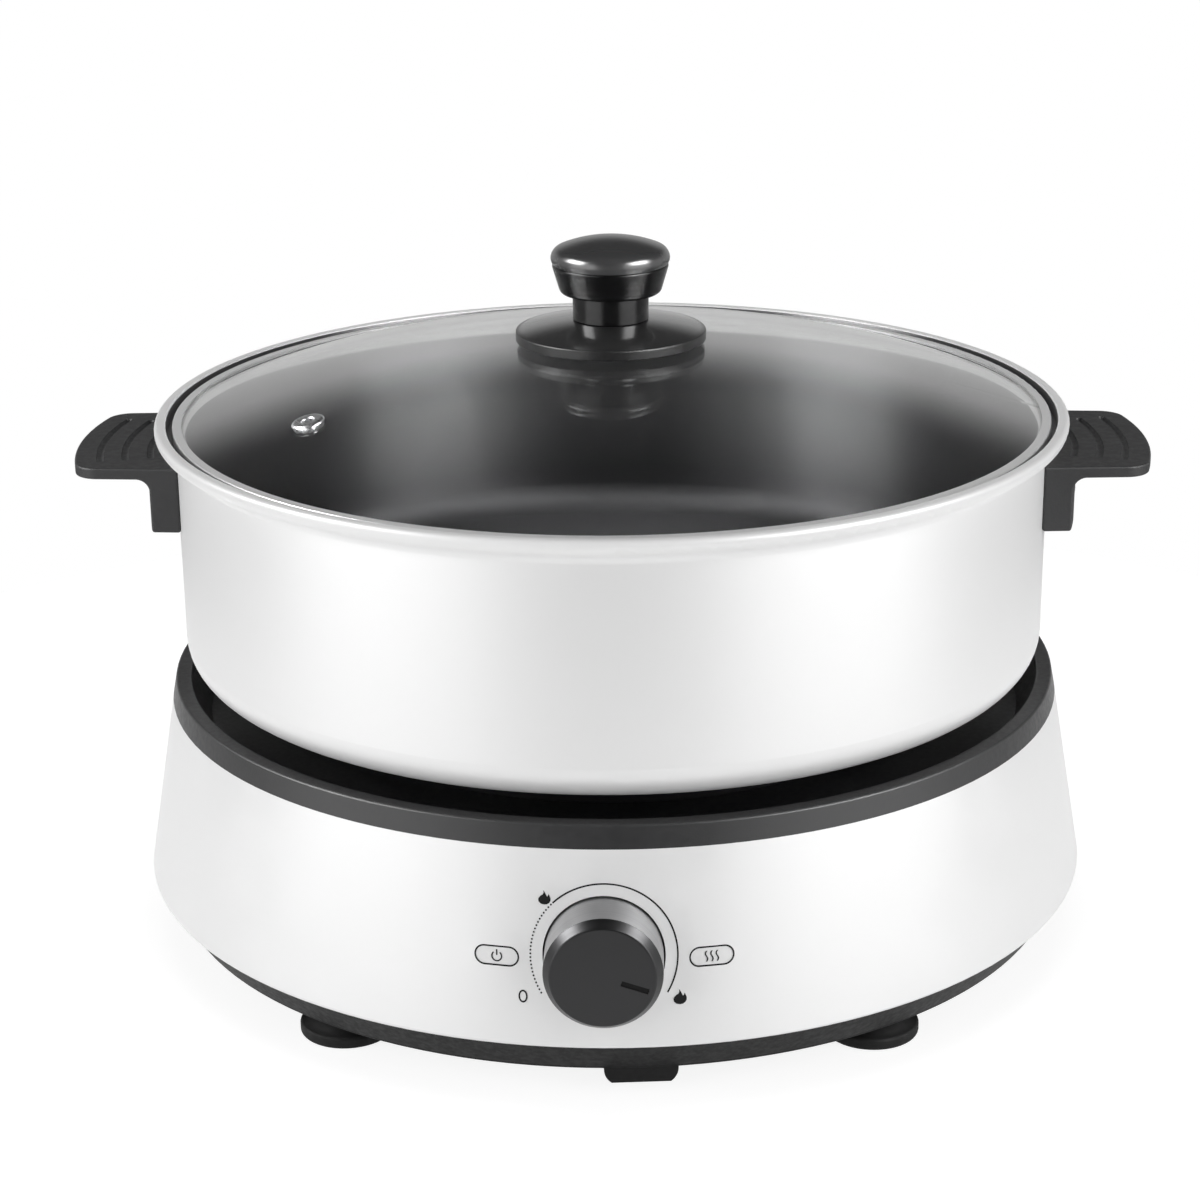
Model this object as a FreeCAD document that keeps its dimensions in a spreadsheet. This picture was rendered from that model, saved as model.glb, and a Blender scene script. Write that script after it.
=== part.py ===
"""Electric hot pot: heating base with a control knob, lift-off pot and lift-off glass lid.

Millimetres, +Z up. The origin is on the pot's vertical axis, on the surface that the feet stand on.
The control knob faces -Y, the power inlet faces +Y and the pot's handles point along -X and +X.
Directions round the axis are angles from the front (-Y) towards +X.
"""

import FreeCAD, Part
import math
import os

import Sketcher

# Driving dimensions: alias in the sheet, value in millimetres, degrees or pieces.
DIMENSIONS = [
    # Heating base, outside
    ("foot_height", 9.9),
    ("pan_bottom_inset", 9.4),
    ("pan_top_inset", 1.5),
    ("pan_wall", 2.2),
    ("housing_bottom_height", 22.1),
    ("housing_bottom_radius", 170.5),
    ("housing_top_height", 86.0),
    ("housing_top_radius", 159.4),
    ("housing_wall", 2.2),
    ("ring_height", 93.6),
    ("ring_top_inset", 1.5),
    ("ring_opening_inset", 7.05),
    ("fit_clearance", 0.3),
    ("seat_clearance", 0.1),
    # Drip well inside the ring
    ("well_floor_height", 80.0),
    ("well_floor_inset", 13.4),
    ("well_wall", 2.0),
    ("well_lip_radius", 106.0),
    ("well_lip_height", 4.0),
    ("column_radius", 5.0),
    ("column_inset", 19.4),
    ("column_angle", 62.0),
    # Hot plate and what heats it
    ("plate_height", 97.6),
    ("plate_radius", 102.5),
    ("plate_thick", 7.0),
    ("plate_hole", 17.5),
    ("element_place", 72.0),
    ("element_radius", 4.1),
    ("element_depth", 11.6),
    ("shield_wall", 0.8),
    ("shield_radius", 112.0),
    ("shield_floor_height", 62.0),
    ("shield_flange", 14.0),
    ("post_radius", 5.0),
    ("post_place", 93.0),
    # Temperature probe in the middle of the plate
    ("probe_radius", 16.0),
    ("probe_wall", 1.2),
    ("probe_length", 13.6),
    ("probe_flange", 2.5),
    ("probe_travel", 3.0),
    ("spring_radius", 12.9),
    ("spring_wire", 0.7),
    ("spring_turns", 6.0),
    # Feet and the screws under the base
    ("foot_place", 144.0),
    ("foot_angle", 37.7),
    ("foot_pad_radius", 16.0),
    ("foot_pad_height", 4.2),
    ("foot_neck_radius", 11.4),
    ("foot_collar_radius", 13.2),
    ("screw_radius", 2.0),
    ("screw_head_radius", 3.8),
    ("screw_head_height", 2.2),
    ("foot_screw_length", 12.0),
    ("pan_screw_length", 20.0),
    ("inlet_screw_length", 11.0),
    ("handle_screw_length", 5.0),
    ("boss_radius", 4.6),
    ("tab_angle", 4.1),
    ("tab_width", 24.0),
    ("tab_height", 5.0),
    ("tab_thick", 4.0),
    ("vent_inner", 62.0),
    ("vent_length", 30.0),
    ("vent_width", 3.0),
    ("vent_count", 24),
    # Control knob and heat regulator
    ("knob_height", 52.0),
    ("knob_radius", 18.8),
    ("knob_stand", 14.7),
    ("knob_bevel", 2.4),
    ("knob_length", 20.5),
    ("knob_wall", 2.2),
    ("knob_hub_radius", 6.5),
    ("spindle_radius", 3.0),
    ("spindle_flat", 1.8),
    ("spindle_insert", 11.5),
    ("spindle_tail", 8.0),
    ("running_gap", 0.05),
    ("knob_gap", 0.6),
    ("knob_back_gap", 11.5),
    ("knob_well_wall", 2.0),
    ("pointer_angle", 18.3),
    ("pointer_start", 6.0),
    ("pointer_length", 9.0),
    ("pointer_width", 1.8),
    ("bush_radius", 5.0),
    ("nut_width", 14.0),
    ("nut_thick", 3.5),
    ("bracket_plate", 1.5),
    ("regulator_width", 36.0),
    ("regulator_depth", 22.0),
    ("tag_width", 6.3),
    ("tag_length", 8.5),
    ("tag_thick", 0.8),
    ("tag_offset", 9.0),
    # Indicator windows
    ("window_offset", 33.9),
    ("window_height", 50.8),
    ("window_width", 14.0),
    ("window_tall", 6.2),
    ("lens_depth", 3.0),
    ("lamp_radius", 2.4),
    ("lamp_length", 10.9),
    ("lamp_gap", 1.8),
    ("holder_wall", 2.0),
    ("holder_depth", 11.7),
    # Power inlet
    ("inlet_stand", 11.35),
    ("inlet_inset", 19.65),
    ("inlet_flange", 3.0),
    ("inlet_wing", 13.0),
    ("inlet_rear_length", 6.0),
    ("inlet_width", 48.0),
    ("inlet_tall", 32.0),
    ("inlet_height", 50.0),
    ("socket_width", 27.0),
    ("socket_tall", 19.0),
    ("socket_depth", 20.0),
    ("blade_length", 13.0),
    ("blade_tail", 7.0),
    ("blade_wide", 4.0),
    ("blade_thick", 1.6),
    ("blade_pitch", 7.0),
    ("terminal_place", 84.0),
    ("terminal_length", 42.0),
    ("terminal_width", 20.0),
    ("terminal_height", 16.0),
    ("terminal_way", 2.6),
    ("cutout_place", 45.0),
    ("cutout_radius", 8.0),
    ("cutout_height", 10.0),
    # Pot
    ("pot_wall_radius", 153.3),
    ("pot_wall", 3.0),
    ("pot_height", 89.4),
    ("pot_floor", 6.0),
    ("pot_corner", 12.6),
    ("pot_inner_corner", 10.0),
    ("rim_overhang", 7.0),
    ("rim_flare", 7.7),
    ("rim_round", 1.8),
    ("rim_width", 4.0),
    ("ledge_depth", 5.6),
    ("rib_height", 3.0),
    ("rib_width", 3.0),
    ("rib_clearance", 1.5),
    # Pot handles
    ("handle_reach", 189.3),
    ("handle_drop", 13.0),
    ("handle_plate", 4.0),
    ("handle_leg", 9.8),
    ("handle_leg_drop", 36.0),
    ("handle_fillet", 4.5),
    ("handle_root_half", 39.5),
    ("handle_tip_half", 36.5),
    ("handle_tip_radius", 125.0),
    ("handle_corner", 9.0),
    ("handle_edge", 0.8),
    ("groove_pitch", 8.7),
    ("groove_half_angle", 13.5),
    ("groove_radius", 1.3),
    ("groove_count", 3),
    ("bracket_wall", 1.5),
    ("bracket_half", 22.0),
    ("bracket_tall", 12.0),
    ("bracket_rise", 4.0),
    ("bracket_screw_half", 15.0),
    ("bracket_boss", 5.0),
    ("bracket_boss_radius", 3.6),
    ("handle_seat", 6.9),
    # Lid
    ("lid_radius", 154.1),
    ("lid_rim_wall", 0.6),
    ("lid_rim_lip", 3.2),
    ("lid_skirt_radius", 149.9),
    ("lid_skirt_drop", 2.0),
    ("glass_thick", 3.4),
    ("glass_rise", 24.5),
    ("vent_place", 115.2),
    ("vent_angle", -60.5),
    ("vent_radius", 3.1),
    ("vent_collar", 5.75),
    # Lid knob, heights above the top of the glass
    ("flange_radius", 33.4),
    ("flange_lift", 0.5),
    ("flange_edge", 3.8),
    ("flange_top", 7.8),
    ("flange_crown", 140.0),
    ("neck_radius", 13.3),
    ("neck_length", 9.4),
    ("neck_core_radius", 11.3),
    ("head_low_radius", 18.0),
    ("head_low", 18.8),
    ("head_seam_radius", 20.2),
    ("head_seam", 27.4),
    ("cap_radius", 20.8),
    ("cap_brow", 29.5),
    ("cap_shoulder", 4.2),
    ("cap_top", 36.9),
    ("lid_screw_radius", 2.45),
]

doc = FreeCAD.newDocument("HotPot")
sheet = doc.addObject("Spreadsheet::Sheet", "Sizes")
for row, (alias, value) in enumerate(DIMENSIONS, start=1):
    sheet.set(f"A{row}", alias)
    sheet.set(f"B{row}", str(value))
    sheet.setAlias(f"B{row}", alias)
doc.recompute()


class Size:
    """A size of the sheet, or a sum, product or root of such sizes: its number and its expression."""

    def __init__(self, number, text=None):
        self.number = float(number)
        self.text = f"{float(number)!r}" if text is None else text

    def join(self, other, sign, number):
        return Size(number, f"({self.text} {sign} {other.text})")

    def __add__(self, other):
        other = as_size(other)
        return self.join(other, "+", self.number + other.number)

    def __sub__(self, other):
        other = as_size(other)
        return self.join(other, "-", self.number - other.number)

    def __mul__(self, other):
        other = as_size(other)
        return self.join(other, "*", self.number * other.number)

    def __truediv__(self, other):
        other = as_size(other)
        return self.join(other, "/", self.number / other.number)

    def __radd__(self, other):
        return as_size(other) + self

    def __rsub__(self, other):
        return as_size(other) - self

    def __rmul__(self, other):
        return as_size(other) * self

    def __rtruediv__(self, other):
        return as_size(other) / self

    def __neg__(self):
        return Size(-self.number, f"(0 - {self.text})")


class Sheet:
    """Gives each cell of the sheet as a Size, by its alias."""

    def __getattr__(self, alias):
        return Size(getattr(sheet, alias), f"Sizes.{alias}")


def as_size(value):
    return value if isinstance(value, Size) else Size(value)


def root(size):
    return Size(math.sqrt(size.number), f"sqrt({size.text})")


def sine(angle):
    angle = as_size(angle)
    return Size(math.sin(math.radians(angle.number)), f"sin({angle.text})")


def cosine(angle):
    angle = as_size(angle)
    return Size(math.cos(math.radians(angle.number)), f"cos({angle.text})")


S = Sheet()
X_AXIS = FreeCAD.Vector(1, 0, 0)
Y_AXIS = FreeCAD.Vector(0, 1, 0)
Z_AXIS = FreeCAD.Vector(0, 0, 1)
UPRIGHT = (Z_AXIS, 0)
TO_FRONT = (X_AXIS, 90)  # turns a piece's own +Z to the front, -Y
TO_BACK = (X_AXIS, -90)
TO_RIGHT = (Y_AXIS, 90)
PUSH = 0.5  # how far a cutter or a fused boss runs past the face it meets


# --- Ways of making a piece ---------------------------------------------------------------------


def bind(item, path, size):
    """Sets one property from a number, or binds it to the sheet."""
    size = as_size(size)
    if "Sizes." in size.text:
        item.setExpression(path, size.text)
    elif path in item.PropertiesList:
        setattr(item, path, size.number)


def place(item, at=(0, 0, 0), turn=UPRIGHT):
    """Puts a piece's own origin at a point, turned about an axis."""
    at = [as_size(value) for value in at]
    base = FreeCAD.Vector(*[value.number for value in at])
    item.Placement = FreeCAD.Placement(base, FreeCAD.Rotation(turn[0], as_size(turn[1]).number))
    for letter, value in zip("xyz", at):
        bind(item, f".Placement.Base.{letter}", value)
    if isinstance(turn[1], Size):
        bind(item, ".Placement.Rotation.Angle", turn[1])
    return item


def around(radius, angle):
    """The point at a radius, at an angle from the front towards +X."""
    return as_size(radius) * sine(angle), -(as_size(radius) * cosine(angle))


def line(across, up):
    return across, up, None, 0


def arc(across, up, radius, side):
    """An arc to this corner; side 1 turns left on the way there, -1 turns right."""
    return across, up, radius, side


def arc_centre(start, end, radius, side):
    chord = end - start
    height = math.sqrt(max(radius**2 - (chord.Length / 2) ** 2, 0))
    left = FreeCAD.Vector(-chord.y, chord.x, 0).normalize()
    return (start + end) / 2 + left * height * side


def pin_corner(sketch, curve, end, across, up):
    """Fixes one corner of an outline at its two distances from the origin."""
    for kind, size, axis in (("DistanceX", across, -2), ("DistanceY", up, -1)):
        if size.number == 0:
            sketch.addConstraint(Sketcher.Constraint("PointOnObject", curve, end, axis))
            continue
        if size.number > 0:
            ends = (-1, 1, curve, end)
        else:
            ends = (curve, end, -1, 1)
            size = -size
        number = sketch.addConstraint(Sketcher.Constraint(kind, *ends, size.number))
        bind(sketch, f"Constraints[{number}]", size)


def outline_sketch(body, plane, outline):
    """A closed outline of lines and arcs on one of the body's own planes, with every corner pinned."""
    sketch = body.newObject("Sketcher::SketchObject", f"{body.Name}_outline")
    face = [item for item in body.Origin.OriginFeatures if item.Role == plane][0]
    sketch.AttachmentSupport = [(face, "")]
    sketch.MapMode = "FlatFace"
    corners = [(as_size(across), as_size(up), radius, side) for across, up, radius, side in outline]
    points = [FreeCAD.Vector(corner[0].number, corner[1].number, 0) for corner in corners]
    starts = []
    for index, (_, _, radius, side) in enumerate(corners):
        start, end = points[index - 1], points[index]
        if radius is None:
            sketch.addGeometry(Part.LineSegment(start, end), False)
            starts.append(1)
            continue
        size = as_size(radius)
        centre = arc_centre(start, end, size.number, side)
        first, last = (start, end) if side > 0 else (end, start)
        from_angle = math.atan2(first.y - centre.y, first.x - centre.x)
        to_angle = math.atan2(last.y - centre.y, last.x - centre.x)
        circle = Part.Circle(centre, Z_AXIS, size.number)
        sketch.addGeometry(Part.ArcOfCircle(circle, from_angle, to_angle), False)
        starts.append(1 if side > 0 else 2)
    count = len(corners)
    for index in range(count):
        following = (index + 1) % count
        ends = (index, 3 - starts[index], following, starts[following])
        sketch.addConstraint(Sketcher.Constraint("Coincident", *ends))
    for index, (across, up, radius, side) in enumerate(corners):
        pin_corner(sketch, index, 3 - starts[index], across, up)
        if radius is not None:
            size = as_size(radius)
            number = sketch.addConstraint(Sketcher.Constraint("Radius", index, size.number))
            bind(sketch, f"Constraints[{number}]", size)
    return sketch


def turned(label, outline, at=(0, 0, 0), turn=UPRIGHT):
    """A body turned round its own Z axis from an outline of radius and height."""
    body = doc.addObject("PartDesign::Body", label)
    sketch = outline_sketch(body, "XZ_Plane", outline)
    revolution = body.newObject("PartDesign::Revolution", f"{label}_turning")
    revolution.Profile = sketch
    revolution.ReferenceAxis = (sketch, ["V_Axis"])
    revolution.Angle = 360
    return place(body, at, turn)


def prism(label, outline, start, length, turn=UPRIGHT, at=(0, 0)):
    """A body padded along its own Z axis from a flat outline, from start onwards."""
    body = doc.addObject("PartDesign::Body", label)
    sketch = outline_sketch(body, "XY_Plane", outline)
    pad = body.newObject("PartDesign::Pad", f"{label}_pad")
    pad.Profile = sketch
    bind(pad, "Length", length)
    start = as_size(start)
    if turn is TO_FRONT:
        return place(body, (at[0], -start, at[1]), turn)
    if turn is TO_BACK:
        return place(body, (at[0], start, at[1]), turn)
    return place(body, (at[0], at[1], start), turn)


def rectangle(width, height, corner):
    """An outline about the origin, with round corners."""
    half_w, half_h, corner = as_size(width) / 2, as_size(height) / 2, as_size(corner)
    return [
        line(half_w - corner, -half_h),
        arc(half_w, -half_h + corner, corner, 1),
        line(half_w, half_h - corner),
        arc(half_w - corner, half_h, corner, 1),
        line(-half_w + corner, half_h),
        arc(-half_w, half_h - corner, corner, 1),
        line(-half_w, -half_h + corner),
        arc(-half_w + corner, -half_h, corner, 1),
    ]


def rod(label, radius, length, at=(0, 0, 0), turn=UPRIGHT):
    item = doc.addObject("Part::Cylinder", label)
    bind(item, "Radius", radius)
    bind(item, "Height", length)
    return place(item, at, turn)


def block(label, lengths, corner=(0, 0, 0), turn=UPRIGHT):
    """A box from its lowest corner."""
    item = doc.addObject("Part::Box", label)
    for name, length in zip(("Length", "Width", "Height"), lengths):
        bind(item, name, length)
    return place(item, corner, turn)


def fuse(label, pieces):
    item = doc.addObject("Part::MultiFuse", label)
    item.Shapes = pieces
    return item


def common(label, first, second):
    item = doc.addObject("Part::Common", label)
    item.Base = first
    item.Tool = second
    return item


def cut(label, base, cutters):
    item = doc.addObject("Part::Cut", label)
    item.Base = base
    item.Tool = cutters[0] if len(cutters) == 1 else fuse(f"{label}_cutters", cutters)
    return item


def group(label, pieces):
    """Identical pieces that share one node, as separate solids."""
    item = doc.addObject("Part::Compound", label)
    item.Links = pieces
    return item


def mirrored(label, source):
    item = doc.addObject("Part::Mirroring", label)
    item.Source = source
    item.Normal = X_AXIS
    return item


def rounded(label, base, radius, chosen):
    """Rounds the edges of a piece that the given test picks."""
    doc.recompute()
    item = doc.addObject("Part::Fillet", label)
    item.Base = base
    size = radius.number
    item.Edges = [(i, size, size) for i, edge in enumerate(base.Shape.Edges, start=1) if chosen(edge)]
    return item


def screw(label, at, length, turn=UPRIGHT, radius=None, head=None):
    """A pan-head screw: its head lies behind its own origin and its shank runs along +Z."""
    radius = S.screw_radius if radius is None else radius
    head = S.screw_head_radius if head is None else head
    crown = S.screw_head_height
    return turned(
        label,
        [
            line(0, length),
            line(0, -crown),
            line(head - crown / 2, -crown),
            arc(head, -crown / 2, crown / 2, 1),
            line(head, 0),
            line(radius, 0),
            line(radius, as_size(length) - radius / 2),
            line(radius / 2, length),
        ],
        at,
        turn,
    )


def housing_radius(height):
    """The housing's outer radius at a height."""
    fall = (S.housing_bottom_radius - S.housing_top_radius) / (
        S.housing_top_height - S.housing_bottom_height
    )
    return S.housing_bottom_radius - (as_size(height) - S.housing_bottom_height) * fall


# --- Heating base: outside ------------------------------------------------------------------------

PAN_FLOOR = S.foot_height + S.pan_wall
FOOT_ANGLES = [S.foot_angle, 180 - S.foot_angle, 180 + S.foot_angle, -S.foot_angle]
COLUMN_ANGLES = [S.column_angle, 180 - S.column_angle, 180 + S.column_angle, -S.column_angle]
COLUMN_PLACE = S.housing_top_radius - S.column_inset
PAN_BOTTOM_RADIUS = S.housing_bottom_radius - S.pan_bottom_inset
PAN_TOP_RADIUS = S.housing_bottom_radius - S.pan_top_inset
RING_TOP_RADIUS = S.housing_top_radius - S.ring_top_inset
RING_OPENING_RADIUS = S.housing_top_radius - S.ring_opening_inset
WELL_FLOOR_RADIUS = S.housing_top_radius - S.well_floor_inset
SHIELD_ANGLES = (0, 120, 240)
WINDOW_SIDES = (-1, 1)
PAN_RIB = 5.0  # how far the pan's lip stands up inside the housing


KNOB_FACE = housing_radius(S.knob_height) + S.knob_stand
KNOB_BACK = KNOB_FACE - S.knob_length
KNOB_HOLE = S.knob_radius + S.knob_gap
WELL_FLOOR = KNOB_BACK - S.knob_back_gap
WELL_UNDER = WELL_FLOOR - S.knob_well_wall
INLET_FACE = housing_radius(S.inlet_height) + S.inlet_stand
INLET_SEAT = housing_radius(S.inlet_height) - S.inlet_inset
INLET_SCREW = S.inlet_width / 2 + S.inlet_wing * 0.58


def housing_core(label, gap):
    """The space inside the housing, less a gap to its wall."""
    inset = S.housing_wall + gap
    return turned(
        label,
        [
            line(0, S.housing_bottom_height),
            line(S.housing_bottom_radius - inset, S.housing_bottom_height),
            line(S.housing_top_radius - inset, S.housing_top_height),
            line(0, S.housing_top_height),
        ],
    )


def window_outline(gap):
    """A window with round ends, less a gap all round."""
    half = S.window_tall / 2 - gap
    straight = (S.window_width - S.window_tall) / 2
    return [
        line(straight, -half),
        arc(straight + half, 0, half, 1),
        arc(straight, half, half, 1),
        line(-straight, half),
        arc(-straight - half, 0, half, 1),
        arc(-straight, -half, half, 1),
    ]


def make_housing():
    edge = 1.2
    shell = turned(
        "housing_shell",
        [
            line(S.housing_bottom_radius - S.housing_wall, S.housing_bottom_height),
            line(S.housing_bottom_radius - edge, S.housing_bottom_height),
            arc(housing_radius(S.housing_bottom_height + edge), S.housing_bottom_height + edge, edge, 1),
            line(S.housing_top_radius, S.housing_top_height),
            line(S.housing_top_radius - S.housing_wall, S.housing_top_height),
        ],
    )
    post = S.inlet_wing * 0.7
    posts = [
        block(
            f"inlet_post_{side}",
            (post, S.inlet_inset + 6, post * 1.3),
            (side * INLET_SCREW - post / 2, INLET_SEAT, S.inlet_height - post * 0.65),
        )
        for side in (-1, 1)
    ]
    core = housing_core("housing_post_space", -PUSH)
    trimmed_posts = common("inlet_posts", fuse("inlet_post_blanks", posts), core)
    opening = rectangle(S.inlet_width + 2 * S.fit_clearance, S.inlet_tall + 2 * S.fit_clearance, 5.3)
    cutters = [
        rod("knob_hole", KNOB_HOLE, 60, (0, -WELL_FLOOR, S.knob_height), TO_FRONT),
        prism("inlet_opening", opening, INLET_SEAT + 1, 60, TO_BACK, (0, S.inlet_height)),
    ]
    for side in WINDOW_SIDES:
        spot = (side * S.window_offset, S.window_height)
        cutters.append(prism(f"window_opening_{side}", window_outline(0), WELL_FLOOR, 60, TO_FRONT, spot))
        hole = (side * INLET_SCREW, INLET_SEAT - PUSH, S.inlet_height)
        cutters.append(rod(f"inlet_pilot_{side}", S.screw_radius, 9, hole, TO_BACK))
    return cut("base_housing", fuse("housing_with_posts", [shell, trimmed_posts]), cutters)


def make_ring():
    """Black moulding: trim ring, skirt inside the housing, drip well and four screw columns."""
    lip = S.well_lip_radius
    floor, under = S.well_floor_height, S.well_floor_height - S.well_wall
    skirt = S.housing_top_radius - S.housing_wall - S.fit_clearance
    crest = 0.8
    fall = (S.housing_top_radius - RING_TOP_RADIUS) / (S.ring_height - S.housing_top_height)
    moulding = turned(
        "ring_moulding",
        [
            line(lip, under),
            line(WELL_FLOOR_RADIUS + S.well_wall, under),
            line(skirt - 2, S.housing_top_height + 2),
            line(skirt - 2, S.housing_top_height - 10),
            line(skirt, S.housing_top_height - 10),
            line(skirt, S.housing_top_height),
            line(S.housing_top_radius, S.housing_top_height),
            line(RING_TOP_RADIUS + fall * crest, S.ring_height - crest),
            arc(RING_TOP_RADIUS - crest, S.ring_height, crest * 1.1, 1),
            line(RING_OPENING_RADIUS + crest, S.ring_height),
            arc(RING_OPENING_RADIUS, S.ring_height - crest, crest, 1),
            line(RING_OPENING_RADIUS, S.ring_height - 3 * crest),
            line(WELL_FLOOR_RADIUS, floor),
            line(lip + S.well_wall, floor),
            line(lip + S.well_wall, floor + S.well_lip_height - 1),
            arc(lip + S.well_wall / 2, floor + S.well_lip_height, S.well_wall / 2, 1),
            arc(lip, floor + S.well_lip_height - 1, S.well_wall / 2, 1),
        ],
    )
    length = under - PAN_FLOOR
    columns, pilots = [], []
    for number, angle in enumerate(COLUMN_ANGLES, start=1):
        across, along = around(COLUMN_PLACE, angle)
        columns.append(rod(f"column_{number}", S.column_radius, length + PUSH, (across, along, PAN_FLOOR)))
        start = (across, along, PAN_FLOOR - PUSH)
        pilots.append(rod(f"column_pilot_{number}", S.screw_radius, 20, start))
    for angle in SHIELD_ANGLES:
        across, along = around(S.shield_radius + 9, angle)
        start = (across, along, under - PUSH)
        pilots.append(rod(f"shield_pilot_{angle}", 1.5, S.well_wall - 0.3 + PUSH, start))
    return cut("top_ring", fuse("ring_with_columns", [moulding] + columns), pilots)


def make_pan():
    """Bottom pan with vent slots, bosses for the feet, screw holes and the tab at the front edge."""
    low, wall = S.foot_height, S.pan_wall
    lip = S.housing_bottom_radius - S.housing_wall - 4 * S.fit_clearance
    top = S.housing_bottom_height
    shell = turned(
        "pan_shell",
        [
            line(0, low),
            line(PAN_BOTTOM_RADIUS - 1.5, low),
            arc(PAN_BOTTOM_RADIUS, low + 1.1, 1.5, 1),
            line(PAN_TOP_RADIUS, top),
            line(lip, top),
            line(lip - 0.9, top + PAN_RIB),
            line(lip - wall - 0.9, top + PAN_RIB),
            line(lip - wall, top),
            line(PAN_BOTTOM_RADIUS - wall, low + wall + 1),
            line(PAN_BOTTOM_RADIUS - wall - 1.5, low + wall),
            line(0, low + wall),
        ],
    )
    solids, holes = [shell], []
    for number, angle in enumerate(FOOT_ANGLES, start=1):
        across, along = around(S.foot_place, angle)
        solids.append(rod(f"foot_boss_{number}", S.boss_radius, 12, (across, along, PAN_FLOOR - PUSH)))
        holes.append(rod(f"foot_pilot_{number}", S.screw_radius, 11, (across, along, low - PUSH)))
    for number, angle in enumerate(COLUMN_ANGLES, start=1):
        across, along = around(COLUMN_PLACE, angle)
        start = (across, along, low - PUSH)
        holes.append(rod(f"pan_hole_{number}", S.screw_radius + S.seat_clearance, 6, start))
    # The tab hangs below the pan's front edge.
    across, along = around(PAN_BOTTOM_RADIUS - S.tab_thick - 0.6, S.tab_angle)
    drop = low - S.tab_height
    tab_outline = [
        line(-S.tab_width / 2, PUSH * 2),
        line(-S.tab_width / 2, 0),
        arc(-S.tab_width / 2 + drop / 2, -drop, drop * 1.2, 1),
        line(S.tab_width / 2 - drop / 2, -drop),
        arc(S.tab_width / 2, 0, drop * 1.2, 1),
        line(S.tab_width / 2, PUSH * 2),
    ]
    tab = doc.addObject("PartDesign::Body", "front_tab")
    sketch = outline_sketch(tab, "XZ_Plane", tab_outline)
    pad = tab.newObject("PartDesign::Pad", "front_tab_pad")
    pad.Profile = sketch
    bind(pad, "Length", S.tab_thick)
    place(tab, (across, along, low), (Z_AXIS, S.tab_angle))
    solids.append(tab)
    # Slots lie along the radius, evenly round the middle of the floor.
    count = int(S.vent_count.number)
    for number in range(count):
        angle = number * 360 / S.vent_count
        side, front = around(S.vent_inner, angle)
        half = S.vent_width / 2
        corner = (side + half * cosine(angle), front + half * sine(angle), low - PUSH)
        lengths = (S.vent_width, S.vent_length, wall + 2 * PUSH)
        holes.append(block(f"vent_slot_{number + 1}", lengths, corner, (Z_AXIS, angle + 180)))
    return cut("bottom_pan", fuse("pan_with_bosses", solids), holes)


def make_feet():
    """Rubber feet with a waist, and the screws up inside them."""
    pad, neck, collar = S.foot_pad_radius, S.foot_neck_radius, S.foot_collar_radius
    recess = S.screw_head_radius + 0.5
    seat = S.foot_height - 3.2
    waist = S.foot_pad_height + 0.45 * (S.foot_height - S.foot_pad_height)
    feet, screws = [], []
    for number, angle in enumerate(FOOT_ANGLES, start=1):
        across, along = around(S.foot_place, angle)
        foot = turned(
            f"foot_{number}",
            [
                line(recess, 0),
                line(pad - 1.2, 0),
                arc(pad, 1.2, 1.2, 1),
                line(pad, S.foot_pad_height - 1),
                arc(pad - 1, S.foot_pad_height, 1, 1),
                arc(neck, waist, 5, -1),
                arc(collar, S.foot_height, 4.2, -1),
                line(S.screw_radius + 0.2, S.foot_height),
                line(S.screw_radius + 0.2, seat),
                line(recess, seat),
            ],
            (across, along, 0),
        )
        feet.append(foot)
        screws.append(screw(f"foot_screw_{number}", (across, along, seat), S.foot_screw_length))
    return group("rubber_feet", feet), group("foot_screws", screws)


def make_pan_screws():
    screws = []
    for number, angle in enumerate(COLUMN_ANGLES, start=1):
        across, along = around(COLUMN_PLACE, angle)
        screws.append(screw(f"pan_screw_{number}", (across, along, S.foot_height), S.pan_screw_length))
    return group("pan_screws", screws)


# --- Heating base: hot plate and probe -----------------------------------------------------------

POST_ANGLES = (60, 180, 300)
ELEMENT_GAP = 36  # degrees of the ring left open between the element's two ends
ELEMENT_HEIGHT = S.plate_height - S.element_depth
PLATE_UNDER = S.plate_height - S.plate_thick
SHIELD_FLOOR = S.shield_floor_height + S.shield_wall


def element_ring(label, radius):
    """The element's ring, open at the front."""
    item = doc.addObject("Part::Torus", label)
    bind(item, "Radius1", S.element_place)
    bind(item, "Radius2", radius)
    item.Angle3 = 360 - ELEMENT_GAP
    return place(item, (0, 0, ELEMENT_HEIGHT), (Z_AXIS, -90 + ELEMENT_GAP / 2))


def element_ends(prefix, radius, bottom):
    """The two ends of the element, bent down through the gap."""
    rods = []
    for side in (-1, 1):
        across, along = around(S.element_place, side * ELEMENT_GAP / 2)
        length = ELEMENT_HEIGHT - bottom
        rods.append(rod(f"{prefix}_end_{side}", radius, length, (across, along, bottom)))
    return rods


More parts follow.
